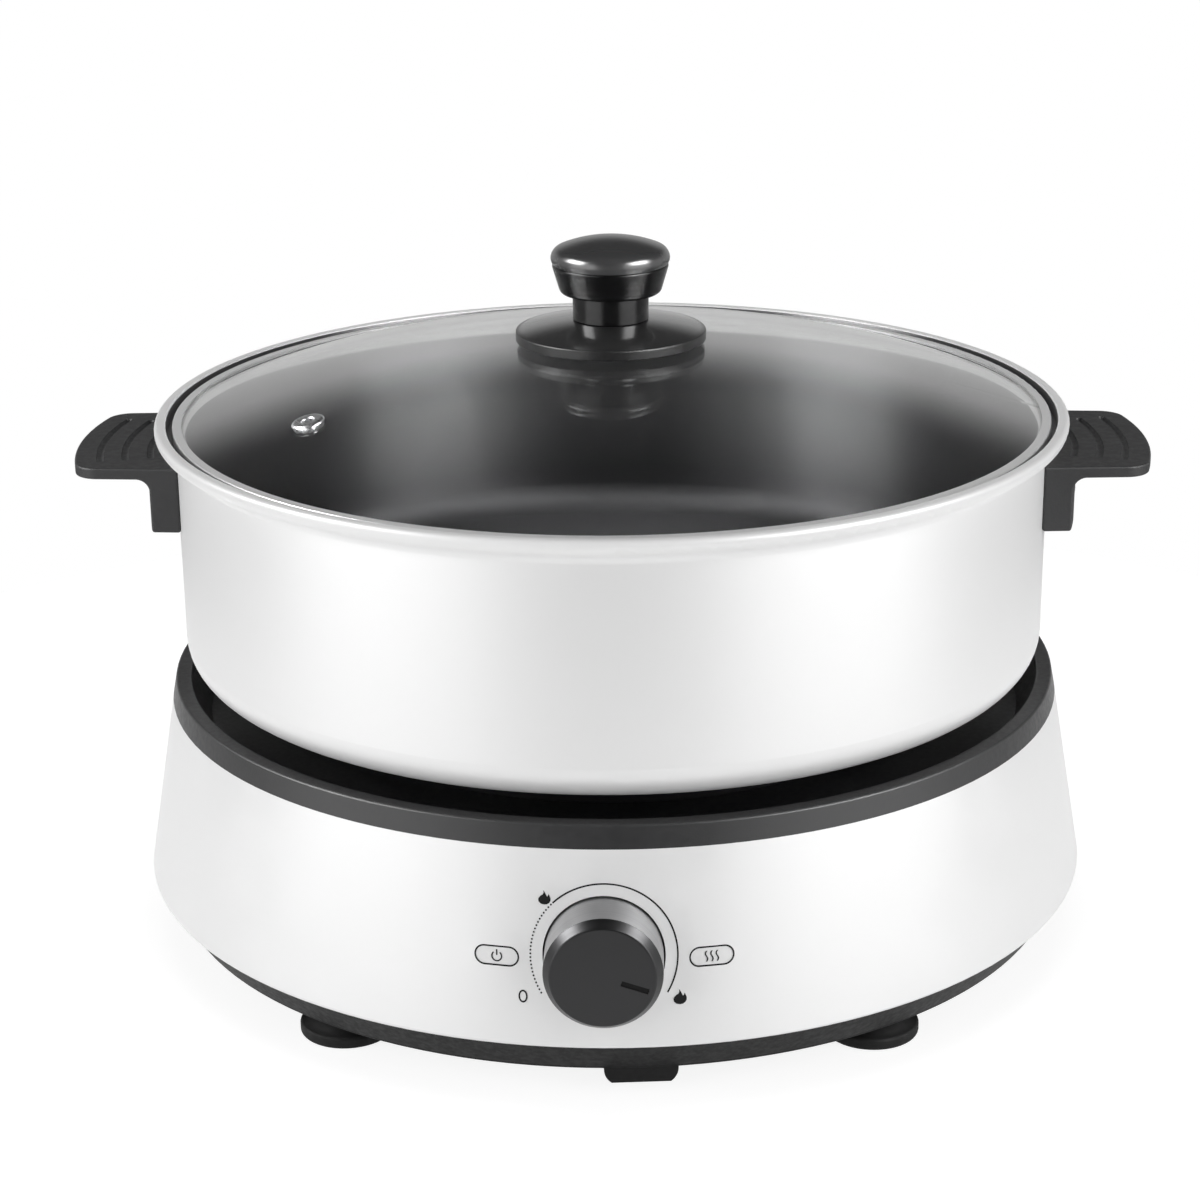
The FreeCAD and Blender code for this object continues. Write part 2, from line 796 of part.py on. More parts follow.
def make_plate():
    boss = S.element_radius + 5
    top = S.plate_height
    casting = turned(
        "plate_casting",
        [
            line(S.plate_hole, PLATE_UNDER),
            line(S.element_place - boss - 3, PLATE_UNDER),
            line(S.element_place - boss, ELEMENT_HEIGHT - 1),
            line(S.element_place + boss, ELEMENT_HEIGHT - 1),
            line(S.element_place + boss + 3, PLATE_UNDER),
            line(S.plate_radius - 2, PLATE_UNDER),
            line(S.plate_radius, PLATE_UNDER + 2),
            line(S.plate_radius, top - 1.5),
            arc(S.plate_radius - 1.5, top, 1.5, 1),
            line(S.plate_hole + 1.5, top),
            line(S.plate_hole, top - 1.5),
        ],
    )
    groove = S.element_radius + S.seat_clearance
    cutters = [element_ring("element_groove", groove)]
    cutters += element_ends("groove", groove + 1, PLATE_UNDER - 20)
    for angle in POST_ANGLES:
        across, along = around(S.post_place, angle)
        start = (across, along, PLATE_UNDER - PUSH)
        cutters.append(rod(f"plate_pilot_{angle}", S.screw_radius, 5, start))
    return cut("hot_plate", casting, cutters)


def make_element():
    bottom = SHIELD_FLOOR + 6
    ends = element_ends("element", S.element_radius * 0.8, bottom)
    return fuse("heating_element", [element_ring("element_ring", S.element_radius)] + ends)


def make_shield():
    """Thin steel dish under the plate, hung from the drip well."""
    wall, floor = S.shield_wall, S.shield_floor_height
    under = S.well_floor_height - S.well_wall
    dish = turned(
        "shield_dish",
        [
            line(10, floor),
            line(S.shield_radius, floor),
            line(S.shield_radius + 2, under - wall),
            line(S.shield_radius + S.shield_flange, under - wall),
            line(S.shield_radius + S.shield_flange, under),
            line(S.shield_radius + 2 - wall, under),
            line(S.shield_radius - wall, floor + wall),
            line(10, floor + wall),
        ],
    )
    holes = []
    for angle in POST_ANGLES:
        across, along = around(S.post_place, angle)
        start = (across, along, floor - PUSH)
        holes.append(rod(f"shield_hole_{angle}", S.screw_radius + S.seat_clearance, 3, start))
    for angle in SHIELD_ANGLES:
        across, along = around(S.shield_radius + 9, angle)
        start = (across, along, under - wall - PUSH)
        holes.append(rod(f"shield_flange_hole_{angle}", 1.5 + S.seat_clearance, 3, start))
    return cut("heat_shield", dish, holes)


def make_shield_fasteners():
    """Posts and screws that carry the plate on the shield, and the shield's own three screws."""
    posts, plate_screws, shield_screws = [], [], []
    floor = S.shield_floor_height
    post = [
        line(S.screw_radius + 0.2, SHIELD_FLOOR),
        line(S.post_radius + 2, SHIELD_FLOOR),
        line(S.post_radius + 2, SHIELD_FLOOR + 2),
        line(S.post_radius, SHIELD_FLOOR + 4),
        line(S.post_radius, PLATE_UNDER),
        line(S.screw_radius + 0.2, PLATE_UNDER),
    ]
    for angle in POST_ANGLES:
        across, along = around(S.post_place, angle)
        posts.append(turned(f"plate_post_{angle}", post, (across, along, 0)))
        length = PLATE_UNDER - floor + 4
        plate_screws.append(screw(f"plate_screw_{angle}", (across, along, floor), length))
    under = S.well_floor_height - S.well_wall - S.shield_wall
    for angle in SHIELD_ANGLES:
        across, along = around(S.shield_radius + 9, angle)
        shield_screws.append(screw(f"shield_screw_{angle}", (across, along, under), 2.4, radius=Size(1.5)))
    return (
        group("plate_posts", posts),
        group("plate_screws", plate_screws),
        group("shield_screws", shield_screws),
    )


def make_probe():
    """Sprung temperature probe: cap, sensor under its top, coil spring and the sleeve that guides it."""
    top, wall, outer = S.plate_height, S.probe_wall, S.probe_radius
    bottom = top - S.probe_length
    flange = outer + S.probe_flange
    cap = turned(
        "probe_cap",
        [
            line(outer - wall, bottom),
            line(flange, bottom),
            line(flange, bottom + wall),
            line(outer, bottom + wall),
            line(outer, top - 1),
            arc(outer - 1, top, 1, 1),
            line(0, top),
            line(0, top - wall),
            line(outer - wall, top - wall),
        ],
    )
    sensor = turned(
        "probe_sensor",
        [
            line(0, top - wall - 7),
            line(6, top - wall - 7),
            line(8, top - wall - 4),
            line(8, top - wall),
            line(0, top - wall),
        ],
    )
    tube = flange + 0.6
    lip = bottom + wall + S.probe_travel
    sleeve = turned(
        "probe_sleeve",
        [
            line(tube, SHIELD_FLOOR),
            line(tube + 6, SHIELD_FLOOR),
            line(tube + 6, SHIELD_FLOOR + 1),
            line(tube + 1, SHIELD_FLOOR + 1),
            line(tube + 1, lip + 1),
            line(outer + 0.8, lip + 1),
            line(outer + 0.8, lip),
            line(tube, lip),
        ],
    )
    clear = S.spring_wire + S.seat_clearance
    height = top - wall - SHIELD_FLOOR - 2 * clear
    helix = doc.addObject("Part::Helix", "probe_spring_line")
    bind(helix, "Radius", S.spring_radius)
    bind(helix, "Height", height)
    bind(helix, "Pitch", height / S.spring_turns)
    place(helix, (0, 0, SHIELD_FLOOR + clear))
    wire = doc.addObject("Part::Circle", "probe_spring_wire")
    bind(wire, "Radius", S.spring_wire)
    place(wire, (S.spring_radius, 0, SHIELD_FLOOR + clear), (X_AXIS, 90))
    spring = doc.addObject("Part::Sweep", "probe_spring")
    spring.Sections = [wire]
    spring.Spine = (helix, ["Edge1"])
    spring.Solid = True
    spring.Frenet = True
    return cap, sensor, sleeve, spring


# --- Heating base: controls, lamps and power -----------------------------------------------------

def make_knob_well():
    """Cup behind the panel that the knob turns in; its front edge meets the housing's curved wall."""
    outer = KNOB_HOLE + S.knob_well_wall
    blank = rod("knob_well_blank", outer, 40, (0, -WELL_UNDER, S.knob_height), TO_FRONT)
    cup = common("knob_well_cup", blank, housing_core("knob_well_space", Size(0)))
    hollow = rod("knob_well_hollow", KNOB_HOLE, 50, (0, -WELL_FLOOR, S.knob_height), TO_FRONT)
    start = (0, PUSH - WELL_UNDER, S.knob_height)
    through = rod("knob_well_hole", S.bush_radius + S.seat_clearance, 10, start, TO_FRONT)
    return cut("knob_well", cup, [hollow, through])


def d_shaft(label, radius, flat, start, length):
    """A round shaft with one flat, pointing to the front at knob height."""
    half = root(radius * radius - flat * flat)
    outline = [
        line(-half, flat),
        arc(-radius, 0, radius, 1),
        arc(0, -radius, radius, 1),
        arc(radius, 0, radius, 1),
        arc(half, flat, radius, 1),
    ]
    return prism(label, outline, start, length, TO_FRONT, (0, S.knob_height))


def make_regulator():
    """Heat regulator: body on a steel plate, threaded bush through the knob well, and its nut."""
    plate = S.bracket_plate
    front = WELL_UNDER - plate
    width = S.regulator_width
    spot = (0, S.knob_height)
    body = prism(
        "regulator_body",
        rectangle(width, width, 3),
        front - S.regulator_depth,
        S.regulator_depth,
        TO_FRONT,
        spot,
    )
    bush_length = plate + S.knob_well_wall + S.nut_thick + 1
    bush_foot = (0, PUSH - front, S.knob_height)
    bush = rod("regulator_bush", S.bush_radius, bush_length + PUSH, bush_foot, TO_FRONT)
    tags = []
    for side in (-1, 1):
        middle = side * S.tag_offset - S.tag_width / 2
        corner = (middle, S.regulator_depth - front - PUSH, S.knob_height - S.tag_thick / 2)
        lengths = (S.tag_width, S.tag_length + PUSH, S.tag_thick)
        tags.append(block(f"regulator_tag_{side}", lengths, corner))
    bore_foot = (0, S.spindle_tail + 1.5 - front, S.knob_height)
    bore = rod("regulator_bore", S.spindle_radius + S.running_gap, 60, bore_foot, TO_FRONT)
    regulator = cut("heat_regulator", fuse("regulator_blank", [body, bush] + tags), [bore])
    hole_radius = S.bush_radius + S.seat_clearance
    bracket_outline = rectangle(width + 14, width - 6, 2)
    bracket_blank_plate = prism("bracket_blank", bracket_outline, front, plate, TO_FRONT, spot)
    hole = rod("bracket_hole", hole_radius, 10, (0, PUSH - front, S.knob_height), TO_FRONT)
    bracket = cut("regulator_bracket", bracket_blank_plate, [hole])
    reach = S.nut_width / 2
    slant = reach * 2 / math.sqrt(3)
    hexagon = [
        line(slant, 0),
        line(slant / 2, reach),
        line(-slant / 2, reach),
        line(-slant, 0),
        line(-slant / 2, -reach),
        line(slant / 2, -reach),
    ]
    nut_blank = prism("nut_blank", hexagon, WELL_FLOOR, S.nut_thick, TO_FRONT, spot)
    thread = rod("nut_thread", hole_radius, 20, (0, PUSH - WELL_FLOOR, S.knob_height), TO_FRONT)
    return regulator, bracket, cut("bush_nut", nut_blank, [thread])


def make_control_knob():
    """Knob with a bevelled face, a hollow back and a D-shaped bore; the inlaid pointer and the spindle."""
    face, back, wall = KNOB_FACE, KNOB_BACK, S.knob_wall
    bevel = S.knob_bevel
    centre = (0, 0, S.knob_height)
    shell = turned(
        "knob_shell",
        [
            line(0, face),
            line(0, back),
            line(S.knob_hub_radius, back),
            line(S.knob_hub_radius, face - 2 * wall),
            line(S.knob_radius - wall, face - 2 * wall),
            line(S.knob_radius - wall, back),
            line(S.knob_radius, back),
            line(S.knob_radius, face - 3),
            line(S.knob_radius - bevel + 0.5, face - 0.3),
            arc(S.knob_radius - bevel - 0.3, face, 0.9, 1),
        ],
        centre,
        TO_FRONT,
    )
    bore = d_shaft(
        "knob_bore",
        S.spindle_radius + S.running_gap,
        S.spindle_flat + S.running_gap,
        back - PUSH,
        S.spindle_insert + 2 * PUSH,
    )
    tilt = FreeCAD.Rotation(Y_AXIS, S.pointer_angle.number)
    corner = tilt.multVec(FreeCAD.Vector(S.pointer_start.number, 0, -S.pointer_width.number / 2))
    slot_depth = 0.8

    def pointer(label, gap, lengths):
        item = doc.addObject("Part::Box", label)
        for name, value in zip(("Length", "Width", "Height"), lengths):
            bind(item, name, value)
        offset = tilt.multVec(FreeCAD.Vector(gap, 0, gap))
        base = FreeCAD.Vector(corner.x + offset.x, slot_depth - face.number, corner.z + offset.z)
        base.z += S.knob_height.number
        item.Placement = FreeCAD.Placement(base, tilt)
        item.Placement.Base.y -= lengths[1].number
        return item

    slot = pointer("pointer_slot", 0, (S.pointer_length, Size(slot_depth + PUSH), S.pointer_width))
    slot.Placement.Base.y = -face.number - PUSH
    gap = 0.05
    inlay_lengths = (S.pointer_length - 2 * gap, Size(slot_depth - 0.2), S.pointer_width - 2 * gap)
    inlay = pointer("knob_pointer", gap, inlay_lengths)
    inlay.Placement.Base.y = slot_depth - face.number - (slot_depth - 0.2)
    knob = cut("control_knob", shell, [bore, slot])
    tail = WELL_UNDER - S.bracket_plate - S.spindle_tail
    start = back - S.spindle_radius
    plain = rod("spindle_shank", S.spindle_radius, start - tail, (0, -tail, S.knob_height), TO_FRONT)
    tip = back + S.spindle_insert - start
    flat = d_shaft("spindle_tip", S.spindle_radius, S.spindle_flat, start, tip)
    return knob, inlay, fuse("knob_spindle", [plain, flat])


def make_windows():
    """Two indicator lenses flush with the housing, each with a lamp holder and a lamp behind it."""
    inner = housing_radius(S.window_height) - S.housing_wall
    behind = root(inner * inner - S.window_offset * S.window_offset)
    floor = behind - S.holder_depth
    lamp_tip = behind - S.lens_depth - S.lamp_gap
    inset = S.housing_wall + S.lens_depth
    clear = S.seat_clearance
    lenses, holders, lamps = [], [], []
    for side, name in zip(WINDOW_SIDES, ("power_lens", "heating_lens")):
        spot = (side * S.window_offset, S.window_height)
        plug = prism(f"{name}_plug", window_outline(clear), floor, 60, TO_FRONT, spot)
        skin = turned(
            f"{name}_skin",
            [
                line(S.housing_bottom_radius - inset, S.housing_bottom_height),
                line(S.housing_bottom_radius - clear, S.housing_bottom_height),
                line(S.housing_top_radius - clear, S.housing_top_height),
                line(S.housing_top_radius - inset, S.housing_top_height),
            ],
        )
        lenses.append(common(name, plug, skin))
        outline = rectangle(S.window_width + 2 * S.holder_wall, S.window_tall + 2 * S.holder_wall, 2)
        blank = prism(f"{name}_holder_blank", outline, floor, 40, TO_FRONT, spot)
        sleeve = common(f"{name}_holder_body", blank, housing_core(f"{name}_holder_space", Size(0)))
        pocket_floor = floor + S.holder_wall
        pocket = prism(f"{name}_pocket", window_outline(-clear), pocket_floor, 40, TO_FRONT, spot)
        lamp_at = (spot[0], PUSH - floor, spot[1])
        lamp_hole = rod(f"{name}_lamp_hole", S.lamp_radius + clear, 10, lamp_at, TO_FRONT)
        holders.append(cut(f"{name}_holder", sleeve, [pocket, lamp_hole]))
        lamps.append(
            turned(
                f"{name}_lamp",
                [
                    line(0, lamp_tip - S.lamp_length),
                    line(S.lamp_radius, lamp_tip - S.lamp_length),
                    line(S.lamp_radius, lamp_tip - S.lamp_radius),
                    arc(0, lamp_tip, S.lamp_radius, 1),
                ],
                (spot[0], 0, spot[1]),
                TO_FRONT,
            )
        )
    return lenses + [group("lamp_holders", holders), group("indicator_lamps", lamps)]


def make_inlet():
    """Power inlet: a shrouded recess in the back with three blades, held by two screws from inside."""
    height, flange, clear = S.inlet_height, S.inlet_flange, S.seat_clearance
    spot = (0, height)
    shroud = prism(
        "inlet_shroud",
        rectangle(S.inlet_width, S.inlet_tall, 5),
        INLET_SEAT - PUSH,
        INLET_FACE - INLET_SEAT + PUSH,
        TO_BACK,
        spot,
    )
    wing_outline = rectangle(S.inlet_width + 2 * S.inlet_wing, S.inlet_tall - 10, 3)
    wings = prism("inlet_wings", wing_outline, INLET_SEAT - flange, flange, TO_BACK, spot)
    rear_face = INLET_SEAT - flange - S.inlet_rear_length
    rear_outline = rectangle(S.socket_width + 3, S.socket_tall + 1, 2)
    rear = prism("inlet_rear", rear_outline, rear_face, S.inlet_rear_length + PUSH, TO_BACK, spot)
    floor = INLET_FACE - S.socket_depth
    socket_outline = rectangle(S.socket_width, S.socket_tall, 3)
    recess = prism("inlet_recess", socket_outline, floor, S.socket_depth + PUSH, TO_BACK, spot)
    cutters, blades, screws = [recess], [], []
    thick, wide = S.blade_thick, S.blade_wide
    for index, (step, up) in enumerate(((-1, -0.5), (0, 0.5), (1, -0.5)), start=1):
        across, low = S.blade_pitch * step - thick / 2, height + wide * up - wide / 2
        slot = (across - clear, rear_face - PUSH, low - clear)
        lengths = (thick + 2 * clear, floor - rear_face + 2 * PUSH, wide + 2 * clear)
        cutters.append(block(f"blade_slot_{index}", lengths, slot))
        tail = rear_face - S.blade_tail
        length = floor + S.blade_length - tail
        blades.append(block(f"inlet_blade_{index}", (thick, length, wide), (across, tail, low)))
    for side in (-1, 1):
        start = (side * INLET_SCREW, INLET_SEAT - flange - PUSH, height)
        cutters.append(rod(f"wing_hole_{side}", S.screw_radius + clear, flange + 2, start, TO_BACK))
        foot = (side * INLET_SCREW, INLET_SEAT - flange, height)
        screws.append(screw(f"inlet_screw_{side}", foot, S.inlet_screw_length, TO_BACK))
    inlet = cut("power_inlet", fuse("inlet_blank", [shroud, wings, rear]), cutters)
    return inlet, group("inlet_blades", blades), group("inlet_screws", screws)


def make_wiring_blocks():
    """Terminal block on the pan floor, and the thermal cut-out clipped under the heat shield."""
    length, width, tall = S.terminal_length, S.terminal_width, S.terminal_height
    near, way = S.terminal_place, S.terminal_way
    body = block("terminal_body", (length, width, tall), (-length / 2, near, PAN_FLOOR))
    holes = []
    for step in (-1, 0, 1):
        across = length / 3 * step
        side = (across, near - PUSH, PAN_FLOOR + tall * 0.4)
        holes.append(rod(f"terminal_way_{step}", way, width + 2 * PUSH, side, TO_BACK))
        top = (across, near + width / 2, PAN_FLOOR + tall * 0.4)
        holes.append(rod(f"terminal_well_{step}", way * 0.8, tall, top))
    terminal = cut("terminal_block", body, holes)
    under = S.shield_floor_height
    wide, high = S.cutout_radius, S.cutout_height
    cutout = turned(
        "thermal_cutout",
        [
            line(0, under - high),
            line(wide - 2, under - high),
            line(wide, under - high + 2),
            line(wide, under - high * 0.3),
            line(wide * 1.3, under - high * 0.2),
            line(wide * 1.3, under),
            line(0, under),
        ],
        (0, S.cutout_place, 0),
    )
    return terminal, cutout


# --- Pot --------------------------------------------------------------------------------------------

POT_BASE = S.plate_height
RIM_TOP = POT_BASE + S.pot_height
RIM_RADIUS = S.pot_wall_radius + S.rim_overhang
LEDGE = RIM_TOP - S.ledge_depth


def make_pot():
    """Turned shell: rib that centres it on the plate, flared rim and a ledge inside for the lid."""
    wall, inner = S.pot_wall_radius, S.pot_wall_radius - S.pot_wall
    rib = S.plate_radius + S.rib_clearance
    flare_low = RIM_TOP - S.rim_round - S.rim_flare
    half_over, half_flare = S.rim_overhang / 2, S.rim_flare / 2
    bend = (S.rim_overhang * S.rim_overhang + S.rim_flare * S.rim_flare) / (4 * S.rim_overhang)
    lip = RIM_RADIUS - S.rim_width
    floor = POT_BASE + S.pot_floor
    return turned(
        "pot_shell",
        [
            line(0, floor),
            line(0, POT_BASE),
            line(rib, POT_BASE),
            line(rib, POT_BASE - S.rib_height + 1),
            arc(rib + 1, POT_BASE - S.rib_height, 1, 1),
            line(rib + S.rib_width - 1, POT_BASE - S.rib_height),
            arc(rib + S.rib_width, POT_BASE - S.rib_height + 1, 1, 1),
            line(rib + S.rib_width, POT_BASE),
            line(wall - S.pot_corner, POT_BASE),
            arc(wall, POT_BASE + S.pot_corner, S.pot_corner, 1),
            line(wall, flare_low),
            arc(wall + half_over, flare_low + half_flare, bend, -1),
            arc(RIM_RADIUS, flare_low + S.rim_flare, bend, 1),
            arc(RIM_RADIUS - S.rim_round, RIM_TOP, S.rim_round, 1),
            line(lip + 0.8, RIM_TOP),
            arc(lip, RIM_TOP - 0.8, 0.8, 1),
            line(lip, LEDGE),
            line(inner, LEDGE),
            line(inner, floor + S.pot_inner_corner),
            arc(inner - S.pot_inner_corner, floor, S.pot_inner_corner, -1),
        ],
    )


# The handle's plate is drawn from above; its tip and grooves are arcs about one centre.
HANDLE_TOP = RIM_TOP - S.handle_drop
HANDLE_UNDER = HANDLE_TOP - S.handle_plate
HANDLE_FOOT = RIM_TOP - S.handle_leg_drop
TIP_CENTRE = S.handle_reach - S.handle_tip_radius
LEG_RADIUS = S.pot_wall_radius + S.handle_leg
BRACKET_LOW = HANDLE_FOOT + S.bracket_rise
BRACKET_MIDDLE = BRACKET_LOW + S.bracket_tall / 2
BOSS_END = S.pot_wall_radius + S.bracket_boss
SCREW_SEAT = S.pot_wall_radius + S.handle_seat


def bracket_blank(label, gap):
    """Curved strap against the pot wall with two screw bosses pointing outwards."""
    wall = S.pot_wall_radius
    strap_ring = turned(
        f"{label}_ring",
        [
            line(wall, BRACKET_LOW - gap),
            line(wall + S.bracket_wall + gap, BRACKET_LOW - gap),
            line(wall + S.bracket_wall + gap, BRACKET_LOW + S.bracket_tall + gap),
            line(wall, BRACKET_LOW + S.bracket_tall + gap),
        ],
    )
    half = S.bracket_half + gap
    window = block(f"{label}_window", (60, half * 2, 60), (wall * 0.8, -half, BRACKET_LOW - 20))
    strap = common(f"{label}_strap", strap_ring, window)
    bosses = []
    for side in (-1, 1):
        start = (wall - 1.5, side * S.bracket_screw_half, BRACKET_MIDDLE)
        length = BOSS_END - wall + 1.5 + gap
        radius = S.bracket_boss_radius + gap
        bosses.append(rod(f"{label}_boss_{side}", radius, length, start, TO_RIGHT))
    body = fuse(f"{label}_body", [strap] + bosses)
    inside = rod(f"{label}_pot", wall, 60, (0, 0, BRACKET_LOW - 20))
    return cut(f"{label}_shape", body, [inside])


def make_handle():
    """Right-hand handle: an L in section, bent round the pot, with grip grooves along its plate."""
    wall = S.pot_wall_radius
    beyond = S.handle_reach + 5
    ring = turned(
        "handle_ring",
        [
            line(wall, HANDLE_FOOT + 1),
            arc(wall + 1, HANDLE_FOOT, 1, 1),
            line(LEG_RADIUS - 1, HANDLE_FOOT),
            arc(LEG_RADIUS, HANDLE_FOOT + 1, 1, 1),
            line(LEG_RADIUS, HANDLE_UNDER - S.handle_fillet),
            arc(LEG_RADIUS + S.handle_fillet, HANDLE_UNDER, S.handle_fillet, -1),
            line(beyond, HANDLE_UNDER),
            line(beyond, HANDLE_TOP),
            line(wall, HANDLE_TOP),
        ],
    )
    root_half, tip_half = S.handle_root_half, S.handle_tip_half
    tip_radius = S.handle_tip_radius
    corner = TIP_CENTRE + root(tip_radius * tip_radius - tip_half * tip_half)
    plan = doc.addObject("PartDesign::Body", "handle_plan")
    plan_outline = [
        line(wall * 0.74, -root_half),
        line(corner, -tip_half),
        arc(corner, tip_half, tip_radius, 1),
        line(wall * 0.74, root_half),
    ]
    sketch = outline_sketch(plan, "XY_Plane", plan_outline)
    pad = plan.newObject("PartDesign::Pad", "handle_plan_pad")
    pad.Profile = sketch
    bind(pad, "Length", HANDLE_TOP - HANDLE_FOOT + 10)
    place(plan, (0, 0, HANDLE_FOOT - 5))
    doc.recompute()
    fillet = plan.newObject("PartDesign::Fillet", "handle_plan_corners")
    tips = []
    for number, edge in enumerate(pad.Shape.Edges, start=1):
        upright = abs(edge.tangentAt(edge.FirstParameter).z) > 0.99
        if upright and edge.Vertexes[0].Point.x > wall.number:
            tips.append(f"Edge{number}")
    fillet.Base = (pad, tips)
    bind(fillet, "Radius", S.handle_corner)
    blank = common("handle_blank", ring, plan)
    top, under = HANDLE_TOP.number, HANDLE_UNDER.number

    def outer_rim(edge):
        heights = [vertex.Point.z for vertex in edge.Vertexes]
        level = max(heights) - min(heights) < 0.01 and (
            abs(heights[0] - top) < 0.01 or abs(heights[0] - under) < 0.01
        )
        middle = edge.valueAt((edge.FirstParameter + edge.LastParameter) / 2)
        return level and math.hypot(middle.x, middle.y) > LEG_RADIUS.number + S.handle_fillet.number + 0.5

    soft = rounded("handle_rounded", blank, S.handle_edge, outer_rim)
    cutters = [bracket_blank("handle_pocket", S.seat_clearance)]
    swing = S.groove_half_angle
    for number in range(int(S.groove_count.number)):
        radius = tip_radius - S.groove_pitch * (number + 1)
        height = HANDLE_TOP + 0.3
        groove = doc.addObject("Part::Torus", f"grip_groove_{number + 1}")
        bind(groove, "Radius1", radius)
        bind(groove, "Radius2", S.groove_radius)
        bind(groove, "Angle3", swing * 2)
        place(groove, (TIP_CENTRE, 0, height), (Z_AXIS, -swing))
        cutters.append(groove)
        for side in (-1, 1):
            ball = doc.addObject("Part::Sphere", f"groove_end_{number + 1}_{side}")
            bind(ball, "Radius", S.groove_radius)
            angle = side * swing
            place(ball, (TIP_CENTRE + radius * cosine(angle), radius * sine(angle), height))
            cutters.append(ball)
    for side in (-1, 1):
        spot = (BOSS_END - PUSH, side * S.bracket_screw_half, BRACKET_MIDDLE)
        cutters.append(rod(f"handle_hole_{side}", S.screw_radius + 0.2, 10, spot, TO_RIGHT))
        seat = (SCREW_SEAT, side * S.bracket_screw_half, BRACKET_MIDDLE)
        cutters.append(rod(f"handle_sink_{side}", S.screw_head_radius + 0.3, 10, seat, TO_RIGHT))
    return cut("right_handle", soft, cutters)


def make_handle_fixings():
    """Brackets welded to the pot wall and the screws that hold the handles on them."""
    shape = bracket_blank("bracket", Size(0))
    bores, screws = [], []
    for side in (-1, 1):
        start = (SCREW_SEAT - 5.3, side * S.bracket_screw_half, BRACKET_MIDDLE)
        bores.append(rod(f"bracket_bore_{side}", S.screw_radius + 0.03, 10, start, TO_RIGHT))
        head = (SCREW_SEAT, side * S.bracket_screw_half, BRACKET_MIDDLE)
        screws.append(screw(f"handle_screw_{side}", head, S.handle_screw_length, (Y_AXIS, -90)))
    right = cut("bracket_right", shape, bores)
    left = mirrored("bracket_left", right)
    others = [mirrored(f"{item.Name}_left", item) for item in screws]
    return group("handle_brackets", [right, left]), group("handle_screws", screws + others)


# --- Lid --------------------------------------------------------------------------------------------

LIP_TOP = LEDGE + S.lid_rim_wall * 2 + S.glass_thick
GLASS_EDGE = LEDGE + S.lid_rim_wall + S.glass_thick
GLASS_TOP = GLASS_EDGE + S.glass_rise
LIP_RADIUS = S.lid_radius - S.lid_rim_lip
DOME_RADIUS = (LIP_RADIUS * LIP_RADIUS + S.glass_rise * S.glass_rise) / (2 * S.glass_rise)
GLASS_HOLE = S.lid_screw_radius + 3


def dome_height(radius):
    """Height of the glass's outer face at a radius."""
    radius = as_size(radius)
    return GLASS_TOP - DOME_RADIUS + root(DOME_RADIUS * DOME_RADIUS - radius * radius)


def make_lid_rim():
    """Rolled steel channel round the glass; its skirt hangs inside the pot's wall."""
    outer, wall, skirt = S.lid_radius, S.lid_rim_wall, S.lid_skirt_radius
    return turned(
        "lid_rim",
        [
            line(skirt - 0.7, LEDGE - S.lid_skirt_drop),
            line(skirt, LEDGE - S.lid_skirt_drop),
            line(skirt, LEDGE),
            line(outer - wall, LEDGE),
            arc(outer, LEDGE + wall, wall, 1),
            line(outer, LIP_TOP - wall),
            arc(outer - wall, LIP_TOP, wall, 1),
            line(LIP_RADIUS, LIP_TOP),
            line(LIP_RADIUS, LIP_TOP - wall),
            line(outer - wall, LIP_TOP - wall),
            line(outer - wall, LEDGE + wall),
            line(skirt - 0.7, LEDGE + wall),
        ],
    )


def make_glass():
    edge = S.lid_radius - S.lid_rim_wall - 0.2
    thick = S.glass_thick
    hole_top = dome_height(GLASS_HOLE)
    glass = turned(
        "glass_blank",
        [
            line(GLASS_HOLE, hole_top - thick),
            arc(LIP_RADIUS, GLASS_EDGE - thick, DOME_RADIUS, -1),
            line(edge - 0.4, GLASS_EDGE - thick),
            line(edge, GLASS_EDGE - thick + 0.4),
            line(edge, GLASS_EDGE - 0.4),
            line(edge - 0.4, GLASS_EDGE),
            line(LIP_RADIUS, GLASS_EDGE),
            arc(GLASS_HOLE, hole_top, DOME_RADIUS, 1),
        ],
    )
    # The vent's axis is square to the dome.
    hole = rod("vent_hole", S.vent_radius + S.seat_clearance, 30)
    hole.Placement = vent_placement(-15)
    return cut("glass_lid", glass, [hole])


def vent_placement(rise):
    """Where the vent stands on the dome, lifted along its own axis."""
    angle = math.radians(S.vent_angle.number)
    tilt = math.asin(S.vent_place.number / DOME_RADIUS.number)
    outward = FreeCAD.Vector(math.sin(angle), -math.cos(angle), 0)
    normal = outward * math.sin(tilt) + Z_AXIS * math.cos(tilt)
    foot = outward * S.vent_place.number
    foot.z = dome_height(S.vent_place).number
    return FreeCAD.Placement(foot + normal * rise, FreeCAD.Rotation(Z_AXIS, normal))


def make_vent():
    """Steel eyelet rolled over both faces of the glass."""
    tube, collar, thick = S.vent_radius, S.vent_collar, S.glass_thick
    lift = S.seat_clearance
    bore = tube - 0.9
    item = turned(
        "vent_eyelet",
        [
            line(bore, 30 - thick - lift - 0.7),
            line(collar - 0.8, 30 - thick - lift - 0.7),
            line(collar - 0.4, 30 - thick - lift),
            line(tube, 30 - thick - lift),
            line(tube, 30 + lift),
            line(collar, 30 + lift),
            arc(collar - 1.2, 30 + 1.0, 1.4, 1),
            line(bore + 0.7, 30 + 1.0),
            arc(bore, 30 + 0.3, 0.7, 1),
        ],
    )
    item.Placement = vent_placement(-30)
    return item


